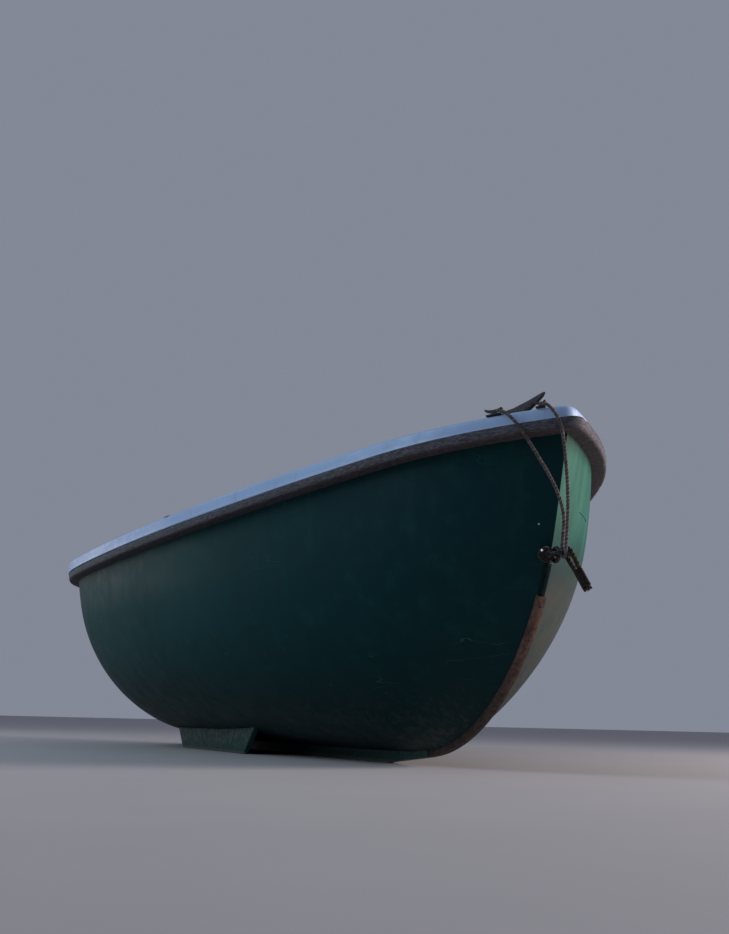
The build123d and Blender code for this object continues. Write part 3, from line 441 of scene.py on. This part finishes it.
for node, mat in {
    "hull_shell": HULL, "gunwale_cap": WHITE, "transom_cap": WHITE2, "foredeck": DECK, "bow_bulkhead": SMOOTH, "stern_locker": SMOOTH,
    "locker_lid": DECK, "rub_rail": RAIL, "keel": KEEL, "bilge_keels": KEEL, "stem_band": BAND, "rowlock_sockets": GALV,
    "forward_thwart": WOOD_Y, "middle_thwart": WOOD_Y, "thwart_risers": WOOD_X, "thwart_posts": WOOD_Z, "floorboards": BOARD,
    "floor_bearers": WOOD_Y, "foot_stretcher": WOOD_Y, "quarter_knees": WOOD_X, "cleat_pad": WOOD_X, "locker_hinges": GALV,
    "lid_leaves": GALV, "drain_plug": BRONZE, "stern_handles": GALV, "stem_eye": IRON, "shackle": IRON, "stem_lashing": TWINE,
    "mooring_cleat": IRON, "fairlead_starboard": PLASTIC, "fairlead_bow": PLASTIC, "strop": STROP,
    "bridle_rope": ROPE,
}.items():
    o = NODES[node]
    o.data.materials.clear()
    o.data.materials.append(mat)


# ---- pieces ------------------------------------------------------------------------------


def piece(name, verts, faces, mat, body="boat", uvs=None, smooth=True):
    me = bpy.data.meshes.new(name)
    me.from_pydata([tuple(v) for v in verts], [], faces)
    me.materials.append(mat)
    if uvs is not None:
        layer = me.uv_layers.new(name="along")
        flatuv = np.array([uvs[i] for i in (l.vertex_index for l in me.loops)], dtype=np.float32)
        layer.data.foreach_set("uv", flatuv.ravel())
    me.update()
    ob = bpy.data.objects.new(name, me)
    COL.objects.link(ob)
    for p in me.polygons:
        p.use_smooth = smooth
    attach(ob, body)
    return ob


def nurbs(name, pts, fine):
    """The cord's line: an open NURBS spline on the route's points."""
    cu = bpy.data.curves.new(name, "CURVE")
    cu.dimensions = "3D"
    cu.resolution_u = fine
    sp = cu.splines.new("NURBS")
    sp.points.add(len(pts) - 1)
    for p, q in zip(sp.points, pts):
        p.co = (*q, 1)
    sp.order_u = 3
    sp.use_endpoint_u = True
    ob = bpy.data.objects.new(name, cu)
    COL.objects.link(ob)
    bpy.context.view_layer.update()
    got = bpy.data.meshes.new_from_object(ob.evaluated_get(bpy.context.evaluated_depsgraph_get()))
    line = [v.co.copy() for v in got.vertices]
    bpy.data.meshes.remove(got)
    bpy.data.objects.remove(ob)
    return line


def thinned(line, least):
    out = [line[0]]
    for p in line[1:-1]:
        if (p - out[-1]).length >= least:
            out.append(p)
    if (line[-1] - out[-1]).length < least * 0.5:
        out.pop()
    return out + [line[-1]]


def frames(line):
    """Tangent and two steady side directions at each point."""
    n = len(line)
    tan_ = [(line[min(i + 1, n - 1)] - line[max(i - 1, 0)]).normalized() for i in range(n)]
    a = tan_[0].orthogonal().normalized()
    out = []
    for t in tan_:
        a = (a - t * a.dot(t)).normalized()
        out.append((t, a, t.cross(a)))
    return out


def tube(line, radius, sides=8, close=True):
    """Vertices, faces and uvs of a tube on a line; radius is a number or one for each point."""
    fr = frames(line)
    vs, fs, uv, run = [], [], [], 0.0
    for i, (p, (t, a, b)) in enumerate(zip(line, fr)):
        if i:
            run += (p - line[i - 1]).length
        r = radius[i] if isinstance(radius, (list, tuple)) else radius
        for k in range(sides):
            w = 2 * pi * k / sides
            vs.append(p + a * (r * cos(w)) + b * (r * sin(w)))
            uv.append((run, k / sides * 0.03))
    for i in range(len(line) - 1):
        for k in range(sides):
            j = (k + 1) % sides
            fs.append((i * sides + k, i * sides + j, (i + 1) * sides + j, (i + 1) * sides + k))
    if close:
        fs.append(tuple(range(sides - 1, -1, -1)))
        e = (len(line) - 1) * sides
        fs.append(tuple(e + k for k in range(sides)))
    return vs, fs, uv


def joined(parts):
    vs, fs, uv = [], [], []
    for v, f, u in parts:
        o = len(vs)
        vs += v
        uv += u
        fs += [tuple(i + o for i in q) for q in f]
    return vs, fs, uv


def laid(line, diameter, lay, strands=3, sides=8, phase=0.0, wander=0.0, seed=1):
    """Strands twisted about a line, right-handed."""
    rnd = random.Random(seed)
    fr = frames(line)
    R = diameter / 2
    r = R / (1 + 1 / sin(pi / strands)) if strands > 2 else R / 2
    c = R - r
    parts = []
    for s in range(strands):
        run, pts = 0.0, []
        w1, w2 = rnd.uniform(0, 6.28), rnd.uniform(0, 6.28)
        for i, (p, (t, a, b)) in enumerate(zip(line, fr)):
            if i:
                run += (p - line[i - 1]).length
            w = phase + 2 * pi * (run / lay + s / strands)
            cc = c * (1 + wander * sin(run * 190 + w1) * 0.5 + wander * sin(run * 83 + w2) * 0.5)
            pts.append(p + a * (cc * cos(w)) + b * (cc * sin(w)))
        parts.append(tube(pts, r * 1.06, sides))
    return joined(parts)


# ---- the hull's lines, in mm, as in the CAD -----------------------------------------------------
XO = -223.4
Z_KEEL, DEAD, FLARE, R_BILGE = 40.0, radians(9.199), radians(7.993), 738.2
HALF, Z_HALF = 850.0, 750.0
XM, XT, Z_TRANSOM, TAN_T, COS_T = -834.3 + XO, -1740.4 + XO, 450.0, tan(radians(8.0)), cos(radians(8.0))
X_STEM, Z_STEM, RAKE, R_STEM, BIARC = 2200.0 + XO, 950.0, radians(15.07), 949.0, 0.2412
SHEER_X, SHEER_Z, SHEER_R = -754.5 + XO, 886.8, 23697.0
STEM_CZ = Z_KEEL + R_STEM
CAP_BACK = 42.0


def half_breadth(z):
    nt, nb = (-cos(FLARE), sin(FLARE)), (-sin(DEAD), cos(DEAD))
    bt, bb = nt[0] * HALF + nt[1] * Z_HALF + R_BILGE, nb[1] * Z_KEEL + R_BILGE
    det = nt[0] * nb[1] - nt[1] * nb[0]
    cy, cz = (bt * nb[1] - nt[1] * bb) / det, (nt[0] * bb - bt * nb[0]) / det
    if z <= cz - R_BILGE * nb[1]:
        return (z - Z_KEEL) / tan(DEAD)
    if z >= cz - R_BILGE * nt[1]:
        return HALF + (z - Z_HALF) * tan(FLARE)
    return cy + sqrt(R_BILGE ** 2 - (z - cz) ** 2)


def sheer(x):
    return SHEER_Z + SHEER_R - sqrt(SHEER_R ** 2 - (x - SHEER_X) ** 2)


STEM_CX = (X_STEM * cos(RAKE) - Z_STEM * sin(RAKE) - R_STEM + STEM_CZ * sin(RAKE)) / cos(RAKE)


def stem_at(z):
    if z >= STEM_CZ - R_STEM * sin(RAKE):
        return X_STEM - (Z_STEM - z) * tan(RAKE)
    return STEM_CX + sqrt(R_STEM ** 2 - (STEM_CZ - z) ** 2)


_lines = {}


def waterline(z, back):
    """The numbers of one waterline: transom width ratio arc, two fore arcs, nose."""
    key = (round(z, 1), back)
    if key not in _lines:
        z = key[0]
        u = (z - 50) / 900
        a = 30.95 * (1 - u) * (1 - 2 * u) + 54.028 * 4 * u * (1 - u) + 53.271 * u * (2 * u - 1)
        a = radians(a)
        hb, xb, r = half_breadth(z), X_STEM - (Z_STEM - z) * tan(RAKE) - back, BIARC
        k = 0.3648 + (0.6894 - 0.3648) * min(max((z - 40) / 600, 0), 1.2) ** 0.8
        vx, vy = xb - XM, -hb
        qa, qb, qc = 2 * r * cos(a) - 2 * r, -2 * (vx * (1 + r * cos(a)) - vy * r * sin(a)), vx * vx + vy * vy
        d = (-qb - sqrt(qb * qb - 4 * qa * qc)) / (2 * qa)
        if d < 0:
            d = (-qb + sqrt(qb * qb - 4 * qa * qc)) / (2 * qa)
        ax, ay, bx, by = XM + d, hb, xb - r * d * cos(a), r * d * sin(a)
        jx, jy = (ax * r + bx) / (1 + r), (ay * r + by) / (1 + r)
        tl = sqrt((bx - ax) ** 2 + (by - ay) ** 2)
        tx, ty = (bx - ax) / tl, (by - ay) / tl
        dx, dy = XT - XM, hb * (1 - k)
        ra = (dx * dx + dy * dy) / (2 * dy)
        r1 = ((jx - XM) ** 2 + (jy - hb) ** 2) / (2 * (hb - jy))
        wx, wy = xb - jx, -jy
        r2 = (wx * wx + wy * wy) / (2 * (wx * ty - wy * tx))
        cx, cy = jx + ty * r2, jy - tx * r2
        _lines[key] = (hb, xb, a, ra, r1, atan2(jx - XM, jy - hb + r1), r2, cx, cy, atan2(jy - cy, jx - cx), atan2(-cy, xb - cx))
    return _lines[key]


def on_line(s, out, h, back, behind):
    """Point of the gunwale: s runs 0 at the transom to 4 at the nose, out and h in mm."""
    z = SHEER_Z + h
    for _ in range(4):
        hb, xb, a, ra, r1, ph, r2, cx, cy, a0, a1 = waterline(z, back)
        if s < 1:
            x0 = XT - (z - Z_TRANSOM) * TAN_T - behind / COS_T
            x = x0 + (XM - x0) * s
            y = hb - ra + sqrt((ra + out) ** 2 - (x - XM) ** 2)
        elif s < 2:
            t = ph * (s - 1)
            x, y = XM + (r1 + out) * sin(t), hb - r1 + (r1 + out) * cos(t)
        elif s < 3 or out < 0:
            e = a1 if out >= 0 else -asin(cy / (r2 + out))
            t = a0 + (e - a0) * min(s - 2, 1)
            x, y = cx + (r2 + out) * cos(t), cy + (r2 + out) * sin(t)
        else:
            t = (pi / 2 - a) * (4 - s)
            x, y = xb + out * cos(t), out * sin(t)
        z = sheer(x) + h
    return x / 1000, max(y, 0.0) / 1000, z / 1000


STATIONS = [i / 70 for i in range(70)] + [1 + i / 150 for i in range(150)] + [2 + i / 90 for i in range(90)] + [3 + i / 14 for i in range(15)]


def swept(name, profile, mat, behind, back=0.0, wear=None):
    """A closed profile of (out, h) or (out, h, back) carried round the gunwale; both sides, ends closed."""
    n = len(profile)
    rows, run, last = [], 0.0, None
    for s in STATIONS:
        row = []
        for j, q in enumerate(profile):
            o, h = q[0], q[1]
            if len(q) == 4:
                row.append(None)
                continue
            b = q[2] if len(q) > 2 else back
            if wear:
                o, h = wear(s, j, o, h, run)
            row.append(on_line(s, o, h, b, behind))
        for j, q in enumerate(profile):
            if row[j] is None:
                x0, y0, z0 = row[q[2]]
                x1, y1, z1 = row[q[3]]
                x, y = x0 + (x1 - x0) * q[0], y0 + (y1 - y0) * q[0]
                row[j] = (x, y, (sheer(x * 1000) + q[1]) / 1000)
        mid = Vector(row[n // 3])
        if last is not None:
            run += (mid - last).length
        last = mid
        rows.append((run, row))
    total = rows[-1][0]
    ring = [(r, [(x, -y, z) for x, y, z in row]) for r, row in rows] + [(2 * total - r, row) for r, row in rows[-2::-1]]
    girth = [0.0]
    for j in range(n):
        p, q = profile[j], profile[(j + 1) % n]
        girth.append(girth[-1] + sqrt((p[0] - q[0]) ** 2 + (p[1] - q[1]) ** 2) / 1000)
    vs = [v for r, row in ring for v in row]
    uv = [(r, girth[j]) for r, row in ring for j in range(n)]
    fs = []
    for i in range(len(ring) - 1):
        for j in range(n):
            k = (j + 1) % n
            fs.append((i * n + j, i * n + k, (i + 1) * n + k, (i + 1) * n + j))
    fs.append(tuple(range(n - 1, -1, -1)))
    e = (len(ring) - 1) * n
    fs.append(tuple(e + j for j in range(n)))
    ob = piece(name, vs, fs, mat, uvs=uv)
    bm = bmesh.new()
    bm.from_mesh(ob.data)
    bmesh.ops.recalc_face_normals(bm, faces=bm.faces)
    bm.to_mesh(ob.data)
    bm.free()
    return ob


def sharp(ob, deg=38):
    """Smooth shading with the sharp edges kept."""
    bm = bmesh.new()
    bm.from_mesh(ob.data)
    for e in bm.edges:
        e.smooth = len(e.link_faces) == 2 and e.calc_face_angle(0.0) < radians(deg)
    bm.to_mesh(ob.data)
    bm.free()
    return ob


# ---- gunwale_cap: moulded, its outer face leaning in, soft top edge, bead along the foot ---------------
def lean(s, j, o, h, run):
    bow = min(max((s - 1.45) / 1.2, 0), 1)
    nose = min(max((s - 2.72) / 0.5, 0), 1)
    nose = nose * nose * (3 - 2 * nose)
    lift_ = max(0.0, min(1.0, (h + 43) / 43))
    if o > 20:
        o -= (2.2 + 4.5 * bow) * lift_ + 9.0 * nose * lift_ ** 1.5
    return o, h


# (out, h), (out, h, back) or (share, h, from point, to point) of the closed outline
CAP = [(44.3, -45.9), (49.2, -45.9), (49.9, -44.4), (49.7, -42.6), (48.9, -41.2), (48.9, -30), (48.9, -14), (48.6, -9), (47.6, -5.4), (45.6, -2.6), (42.6, -0.9),
       (0.10, -0.2, 10, 16), (0.30, 0, 10, 16), (0.55, 0, 10, 16), (0.80, 0, 10, 16), (0.92, -0.05, 10, 16), (-24.6, -0.7, 0), (-27.2, -2.6, 0), (-27.9, -5.4, 0),
       (-27.9, -24.2, 0), (-26.5, -25, 0), (-22.4, -24.6, 0), (-22.2, -6.2, 0), (0.35, -6.2, 22, 25), (0.85, -6.2, 22, 25), (43.2, -9.5), (44.2, -30)]
cap = swept("gunwale_cap_moulding", CAP, WHITE, 12.0, back=CAP_BACK, wear=lean)
SOCKETS = []
for sx, sy, sz, nx, nz in ((-863.4, 888.06, 887.08, -0.00483, 0.99999), (246.6, 768.5, 918.46, -0.0516, 0.99867)):
    for side in (1, -1):
        SOCKETS.append((Vector((sx, side * sy, sz)) / 1000, Vector((nx, 0, nz)).normalized()))


def drilled(ob, holes, radius, depth):
    """The piece with round holes through it."""
    cut = bmesh.new()
    for at, n in holes:
        m = Matrix.Translation(at) @ n.to_track_quat("Z", "Y").to_matrix().to_4x4()
        bmesh.ops.create_cone(cut, cap_ends=True, segments=32, radius1=radius, radius2=radius, depth=depth, matrix=m)
    cm = bpy.data.meshes.new("cutter")
    cut.to_mesh(cm)
    cut.free()
    co = bpy.data.objects.new("cutter", cm)
    COL.objects.link(co)
    mod = ob.modifiers.new("holes", "BOOLEAN")
    mod.operation, mod.solver, mod.object = "DIFFERENCE", "EXACT", co
    bpy.context.view_layer.update()
    got = bpy.data.meshes.new_from_object(ob.evaluated_get(bpy.context.evaluated_depsgraph_get()))
    ob.modifiers.clear()
    old = ob.data
    ob.data = got
    bpy.data.meshes.remove(old)
    bpy.data.objects.remove(co)


drilled(cap, SOCKETS, 0.0100, 0.060)
sharp(cap, 50)
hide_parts("gunwale_cap")

# ---- rub_rail: rounded, worn -----------------------------------------------------------------------
rnd = random.Random(11)
WAVES = [(rnd.uniform(2, 9), rnd.uniform(0, 6.3), 0.55) for _ in range(5)] + [(rnd.uniform(14, 60), rnd.uniform(0, 6.3), 0.22) for _ in range(9)]
DENTS = [(rnd.uniform(0.05, 4.3), rnd.uniform(0.008, 0.03), rnd.uniform(0.8, 2.4)) for _ in range(26)]


def worn(s, j, o, h, run):
    if o < 20:
        return o, h
    w = sum(k * (0.5 + 0.5 * sin(f * run + p + 0.5 * j)) for f, p, k in WAVES) / 3.0
    if j in (4, 5, 9, 10, 11):
        w += sum(d * max(0.0, 1 - abs(run - at) / wide) for at, wide, d in DENTS)
    return o - min(w, 3.2), h + (0.35 * w if h < -70 else 0.0)


RAIL_P = [(-2.0, -46.3), (14, -46.3), (38, -46.3), (43.6, -46.6), (46.6, -47.9), (48.0, -50.4), (48.4, -54), (48.4, -62), (48.4, -69.5), (47.9, -74), (46.2, -77.6),
          (43.2, -79.6), (38, -80.1), (20, -80.1), (-2.0, -80.1)]
rail = swept("rub_rail_strip", RAIL_P, RAIL, 0.0, wear=worn)
sharp(rail, 60)
# the rail's backing inside the cap is hidden; the strip stands for the whole of it
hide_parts("rub_rail")


# ---- softened copies of plain-edged pieces ------------------------------------------------------------
def softened(node, width, segments=2, deg=28, mat=None, body="boat", name=None):
    src = NODES[node]
    bm = bmesh.new()
    bm.from_mesh(src.data)
    bmesh.ops.transform(bm, matrix=src.matrix_world, verts=bm.verts)
    bmesh.ops.remove_doubles(bm, verts=bm.verts, dist=2e-5)
    bmesh.ops.dissolve_limit(bm, angle_limit=radians(1.0), verts=bm.verts, edges=bm.edges)
    edges = [e for e in bm.edges if len(e.link_faces) == 2 and e.calc_face_angle(0.0) > radians(deg)]
    bmesh.ops.bevel(bm, geom=edges, offset=width, offset_type="OFFSET", segments=segments, profile=0.5, affect="EDGES", clamp_overlap=True)
    bmesh.ops.recalc_face_normals(bm, faces=bm.faces)
    me = bpy.data.meshes.new(name or node + "_softened")
    bm.to_mesh(me)
    bm.free()
    me.materials.clear()
    me.materials.append(mat or src.data.materials[0])
    ob = bpy.data.objects.new(name or node + "_softened", me)
    COL.objects.link(ob)
    for q in me.polygons:
        q.use_smooth = True
    sharp(ob, 32)
    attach(ob, body)
    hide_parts(node)
    return ob


softened("forward_thwart", 0.003)
softened("middle_thwart", 0.003)
softened("thwart_posts", 0.003)
softened("cleat_pad", 0.005, 3)
softened("quarter_knees", 0.004)
softened("foot_stretcher", 0.004)
softened("bilge_keels", 0.004)
softened("keel", 0.004)
softened("stem_band", 0.003)
for n in ("fairlead_starboard", "fairlead_bow"):
    softened(n, 0.0013, 3)

# ---- mooring_cleat: a cast foot and one bar drawn out into two fine horns -------------------------------
X_CLEAT = (1895.0 + XO) / 1000
Z_CLEAT = sheer(1895.0 + XO) / 1000 + 0.016


def ringed(rings, mat, name, slot):
    n = len(rings[0])
    vs = [v for r in rings for v in r]
    fs = [(i * n + j, i * n + (j + 1) % n, (i + 1) * n + (j + 1) % n, (i + 1) * n + j) for i in range(len(rings) - 1) for j in range(n)]
    fs += [tuple(range(n - 1, -1, -1)), tuple((len(rings) - 1) * n + j for j in range(n))]
    return vs, fs, [(0.0, 0.0)] * len(vs)


def oval(w, p):
    return abs(cos(w)) ** p * (1 if cos(w) >= 0 else -1), abs(sin(w)) ** p * (1 if sin(w) >= 0 else -1)


def between(x, table):
    for (a, va), (b, vb) in zip(table, table[1:]):
        if x <= b:
            return va + (vb - va) * (x - a) / (b - a)
    return table[-1][1]


UNDER = [(0, 46), (36, 47), (56, 50), (92, 59.5), (134, 70), (178, 85), (189, 92.5)]
OVER = [(0, 88), (90, 92), (150, 97), (180, 99.5), (189, 97.5)]
THICK = [(0, 11.6), (50, 11), (110, 8), (165, 4.6), (182, 3.0), (189, 1.4)]
rings = []
for i in range(-64, 65):
    uu = 188.6 * i / 64
    lo, hi, th = between(abs(uu), UNDER), between(abs(uu), OVER), between(abs(uu), THICK)
    mid, hh = (lo + hi) / 2, (hi - lo) / 2
    ring = []
    for k in range(20):
        c, s_ = oval(2 * pi * k / 20, 0.72)
        ring.append((X_CLEAT + uu / 1000, th * c / 1000, Z_CLEAT + (mid + hh * s_) / 1000))
    rings.append(ring)
bar = ringed(rings, IRON, "", "")
FOOT = [(0.3, 72, 11.9), (6, 72, 11.9), (10, 70, 11.6), (13, 64, 11), (15.5, 50, 10.4), (19, 42, 10), (28, 38, 9.6), (38, 36, 9.8), (48, 40, 10.4), (58, 50, 10.6)]
rings = []
for w, uh, th in FOOT:
    ring = []
    for k in range(36):
        c, s_ = oval(2 * pi * k / 36, 0.42)
        zz = w - (0.3 if w < 1 else 0)
        ring.append((X_CLEAT + uh * c / 1000, th * s_ / 1000, Z_CLEAT + zz / 1000))
    rings.append(ring)
foot_ = ringed(rings, IRON, "", "")
v, f, u = joined([bar, foot_])
cleat = piece("mooring_cleat_cast", v, f, IRON)
bm = bmesh.new()
bm.from_mesh(cleat.data)
bmesh.ops.recalc_face_normals(bm, faces=bm.faces)
bm.to_mesh(cleat.data)
bm.free()
sharp(cleat, 45)
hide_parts("mooring_cleat")


# ---- screws: domed heads with a slot ----------------------------------------------------------------
def screws(name, places, radius, mat, body="boat", turn=0.0):
    """places: (point, outward direction)."""
    parts = []
    rnd_ = random.Random(len(places) + int(radius * 1e5))
    for at, n in places:
        at, n = Vector(at), Vector(n).normalized()
        a = n.orthogonal().normalized()
        b = n.cross(a)
        w0 = rnd_.uniform(0, pi)
        a, b = a * cos(w0) + b * sin(w0), b * cos(w0) - a * sin(w0)
        sides, vs, fs = 20, [], []
        prof = ((1.0, -0.4), (1.0, 0.05), (0.93, 0.20), (0.70, 0.34), (0.36, 0.42))
        for r, h in prof:
            for k in range(sides):
                w = 2 * pi * k / sides
                dip = 0.20 if abs(sin(w)) * r < 0.16 and r < 0.95 else 0.0
                vs.append(at + a * (r * radius * cos(w)) + b * (r * radius * sin(w)) + n * ((h - dip) * radius))
        vs.append(at + n * (0.22 * radius))
        for i in range(len(prof) - 1):
            for k in range(sides):
                j = (k + 1) % sides
                fs.append((i * sides + k, i * sides + j, (i + 1) * sides + j, (i + 1) * sides + k))
        e = (len(prof) - 1) * sides
        for k in range(sides):
            fs.append((e + k, e + (k + 1) % sides, len(vs) - 1))
        fs.append(tuple(range(sides - 1, -1, -1)))
        parts.append((vs, fs, [(0.0, 0.0)] * len(vs)))
    v_, f_, u_ = joined(parts)
    return piece(name, v_, f_, mat, body=body)


def gunwale_at(s, out, h, side, back=0.0):
    x, y, z = on_line(s, out, h, back, 0)
    x1, y1, _ = on_line(min(s + 0.01, 3.99), out, h, back, 0)
    x0, y0, _ = on_line(max(s - 0.01, 0.01), out, h, back, 0)
    t = Vector((x1 - x0, side * (y1 - y0), 0)).normalized()
    return Vector((x, side * y, z)), Vector((t.y * side, -t.x * side, 0)).normalized()


rail_screws = []
for side in (1, -1):
    for i in range(11):
        s = 0.12 + 2.8 * i / 11
        at, n = gunwale_at(s, 46.6, -62, side)
        n = Vector((abs(n.x) if s > 1 else n.x, side * abs(n.y), 0))
        rail_screws.append((at, n))
screws("rail_screws", rail_screws, 0.0034, IRON)
plate_screws = []
for at, n in SOCKETS:
    tdir = Vector((n.z, 0, -n.x))
    for k in (-1, 1):
        plate_screws.append((at + n * 0.0040 + tdir * (0.0275 * k), n))
screws("socket_plate_screws", plate_screws, 0.0038, STEEL)
screws("cleat_bolts", [((X_CLEAT + k * 0.059, 0, Z_CLEAT + 0.0118), (0.12 * k, 0, 1)) for k in (-1, 1)], 0.0050, STEEL)

# ---- bridle_rope: 11 mm laid rope, route points as in the CAD --------------------------------
BRIDLE = [tuple(c / 1000 for c in q) for q in (
    (1863.32, -172.92, 1066.69), (1887.5, -165.1, 1069.18), (1939.3, -148.8, 1025.05), (1955.16, -122.0, 979.02), (1966.0, 5.5, 790.0), (1955.7, -2.2, 654.0),
    (1955.7, -2.2, 628.7), (1978.3, -2.2, 628.7), (1978.3, -2.2, 654.0), (1980.0, 8.5, 800.0), (2028.53, -38.5, 988.29), (2026.27, -58.5, 1036.0),
    (1984.56, -71.6, 1081.2), (1962.26, -78.17, 1078.86))]
rope_line = thinned(nurbs("bridle_line", BRIDLE, 96), 0.0012)
v, f, u = laid(rope_line, 0.011, 0.034, 3, 8, wander=0.05, seed=3)
rope = piece("bridle_rope_laid", v, f, ROPE, uvs=u)
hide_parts("bridle_rope")

# ---- strop: 15 mm old rope, doubled and served with twine ------------------------------------------
S_C = Vector((1.967, 0.0135, 0.640))
S_U = Vector((0.572, 0.12, -0.820)).normalized()
S_V = Vector((0.820, 0, 0.572))
S_W = S_U.cross(S_V).normalized()
# along the strop from the shackle's bar, across it, in mm
STROP_PTS = [tuple(S_C + S_U * (a / 1000) + S_V * (b / 1000)) for a, b in (
    (140, 7.75), (78, 7.75), (24, 13.3), (-13.3, 13.3), (-13.3, -13.3), (24, -13.3), (78, -7.75), (134, -7.75))]
strop_line = thinned(nurbs("strop_line", STROP_PTS, 64), 0.0014)
v, f, u = laid(strop_line, 0.015, 0.046, 3, 9, wander=0.05, seed=5)
strop = piece("strop_laid", v, f, STROP, uvs=u)
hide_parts("strop")
turns, line = 17, []
for i in range(turns * 28 + 1):
    w = 2 * pi * i / 28
    d = 0.068 + 0.059 * i / (turns * 28)
    line.append(S_C + S_U * d + S_V * (0.0163 * cos(w)) + S_W * ((0.0083 + 0.0006 * sin(w * 0.37)) * sin(w)))
v, f, u = tube(line, 0.0018, 6)
service = piece("strop_service", v, f, TWINE, uvs=u)
rnd = random.Random(17)
parts = []
for i in range(34):
    side_ = -1 if i % 2 else 1
    d0 = 0.128 if side_ > 0 else 0.122
    base = S_C + S_U * d0 + S_V * (side_ * 0.00775 + rnd.uniform(-0.0045, 0.0045)) + S_W * rnd.uniform(-0.0045, 0.0045)
    drift = S_V * rnd.uniform(-0.25, 0.25) + S_W * rnd.uniform(-0.25, 0.25)
    L = rnd.uniform(0.008, 0.012)
    parts.append(tube([base, base + (S_U + drift * 0.4) * L * 0.5, base + (S_U + drift) * L], [0.0015, 0.0012, 0.0006], 5))
v, f, u = joined(parts)
piece("strop_tail_fibres", v, f, STROP, uvs=u)

# ---- stem strip: narrow dark facing from the eye down to the band -----------------------------------------
rings = []
for i in range(41):
    z = 0.517 + (0.618 - 0.517) * i / 40
    x = (stem_at(z * 1000)) / 1000
    proud = 0.0055 * min(1.0, (41 - i) / 4, (i + 2) / 3)
    half = 0.0105
    rings.append([(x - 0.012, -half - 0.001, z), (x + proud * 0.3, -half, z), (x + proud * 0.85, -half * 0.82, z), (x + proud, -half * 0.45, z), (x + proud, half * 0.45, z),
                  (x + proud * 0.85, half * 0.82, z), (x + proud * 0.3, half, z), (x - 0.012, half + 0.001, z)])
v, f, u = ringed(rings, FACING, "", "")
piece("stem_facing", v, f, FACING)
screws("band_screws", [((STEM_CX / 1000 + 0.9605 * cos(w), 0, STEM_CZ / 1000 - 0.9605 * sin(w)), (cos(w), 0, -sin(w))) for w in [radians(d) for d in (31, 38, 45, 52, 59, 66, 73, 80)]],
       0.0042, IRON)

# ---- stem_lashing: turns of tarred twine wound to a lump on the eye's starboard side --------------------
X_EYE = 1.8868
LUMP = Vector((X_EYE + 0.0165, -0.0250, 0.641))
parts = []
for g, (axis, r0, n) in enumerate((((0.15, 1.0, 0.2), 0.0208, 8), ((1.0, 0.25, 0.3), 0.0216, 6), ((0.1, 0.2, 1.0), 0.0212, 6))):
    ax = Vector(axis).normalized()
    a = ax.orthogonal().normalized()
    b = ax.cross(a)
    line = []
    N = n * 40
    for i in range(N + 1):
        w = 2 * pi * i / 40
        lat = radians(-52 + 104 * i / N + 5 * sin(w * 0.31 + g))
        q = (a * cos(w) + b * sin(w)) * cos(lat) + ax * sin(lat)
        pt = LUMP + q * (r0 + 0.0006 * sin(3 * w + g))
        pt.y = min(pt.y, -0.0090)
        line.append(pt)
    parts.append(tube(line, 0.0026, 7))
core, N1, N2 = [], 22, 14
for i in range(N2):
    la = -pi / 2 + pi * (i + 0.5) / N2
    ring = []
    for k in range(N1):
        w = 2 * pi * k / N1
        q = Vector((cos(w) * cos(la), sin(w) * cos(la), sin(la)))
        pt = LUMP + q * (0.0198 + 0.0008 * sin(5 * w + 3 * la))
        pt.y = min(pt.y, -0.0080)
        ring.append(pt)
    core.append(ring)
parts.append(ringed(core, TWINE, "", ""))
v, f, u = joined(parts)
lash = piece("stem_lashing_turns", v, f, TWINE, uvs=u)
bm = bmesh.new()
bm.from_mesh(lash.data)
bmesh.ops.recalc_face_normals(bm, faces=bm.faces)
bm.to_mesh(lash.data)
bm.free()
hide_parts("stem_lashing")

# ---- small marks at the bow: the end of the pin in the lashing, coloured near white as a painted glint, a screw, a curved scratch ---
# Painted highlight: the pin end's near-white metal colour stands in for a glint.
PIN_GLINT_METAL = metal("pin_end_painted_glint", (0.80, 0.76, 0.73), (0.90, 0.87, 0.85), 0.35, 0.0, 200)
screws("lashing_pin_end", [((LUMP.x + 0.0108, LUMP.y - 0.0192, LUMP.z + 0.0096), (0.45, -0.80, 0.40))], 0.0046, PIN_GLINT_METAL)
screws("bow_screw", [((1.8892, -0.0398, 0.7322), (0.80, -0.60, -0.05))], 0.0030, STEEL)
v, f, u = tube(nurbs("scratch_line", [(1.8185, 0.1427, 0.7930), (1.7993, 0.1618, 0.7922), (1.7747, 0.1844, 0.7900), (1.7433, 0.2114, 0.7866), (1.7224, 0.2282, 0.7835)], 12),
               0.0012, 6)
piece("bow_scratch", v, f, FACING, uvs=u)
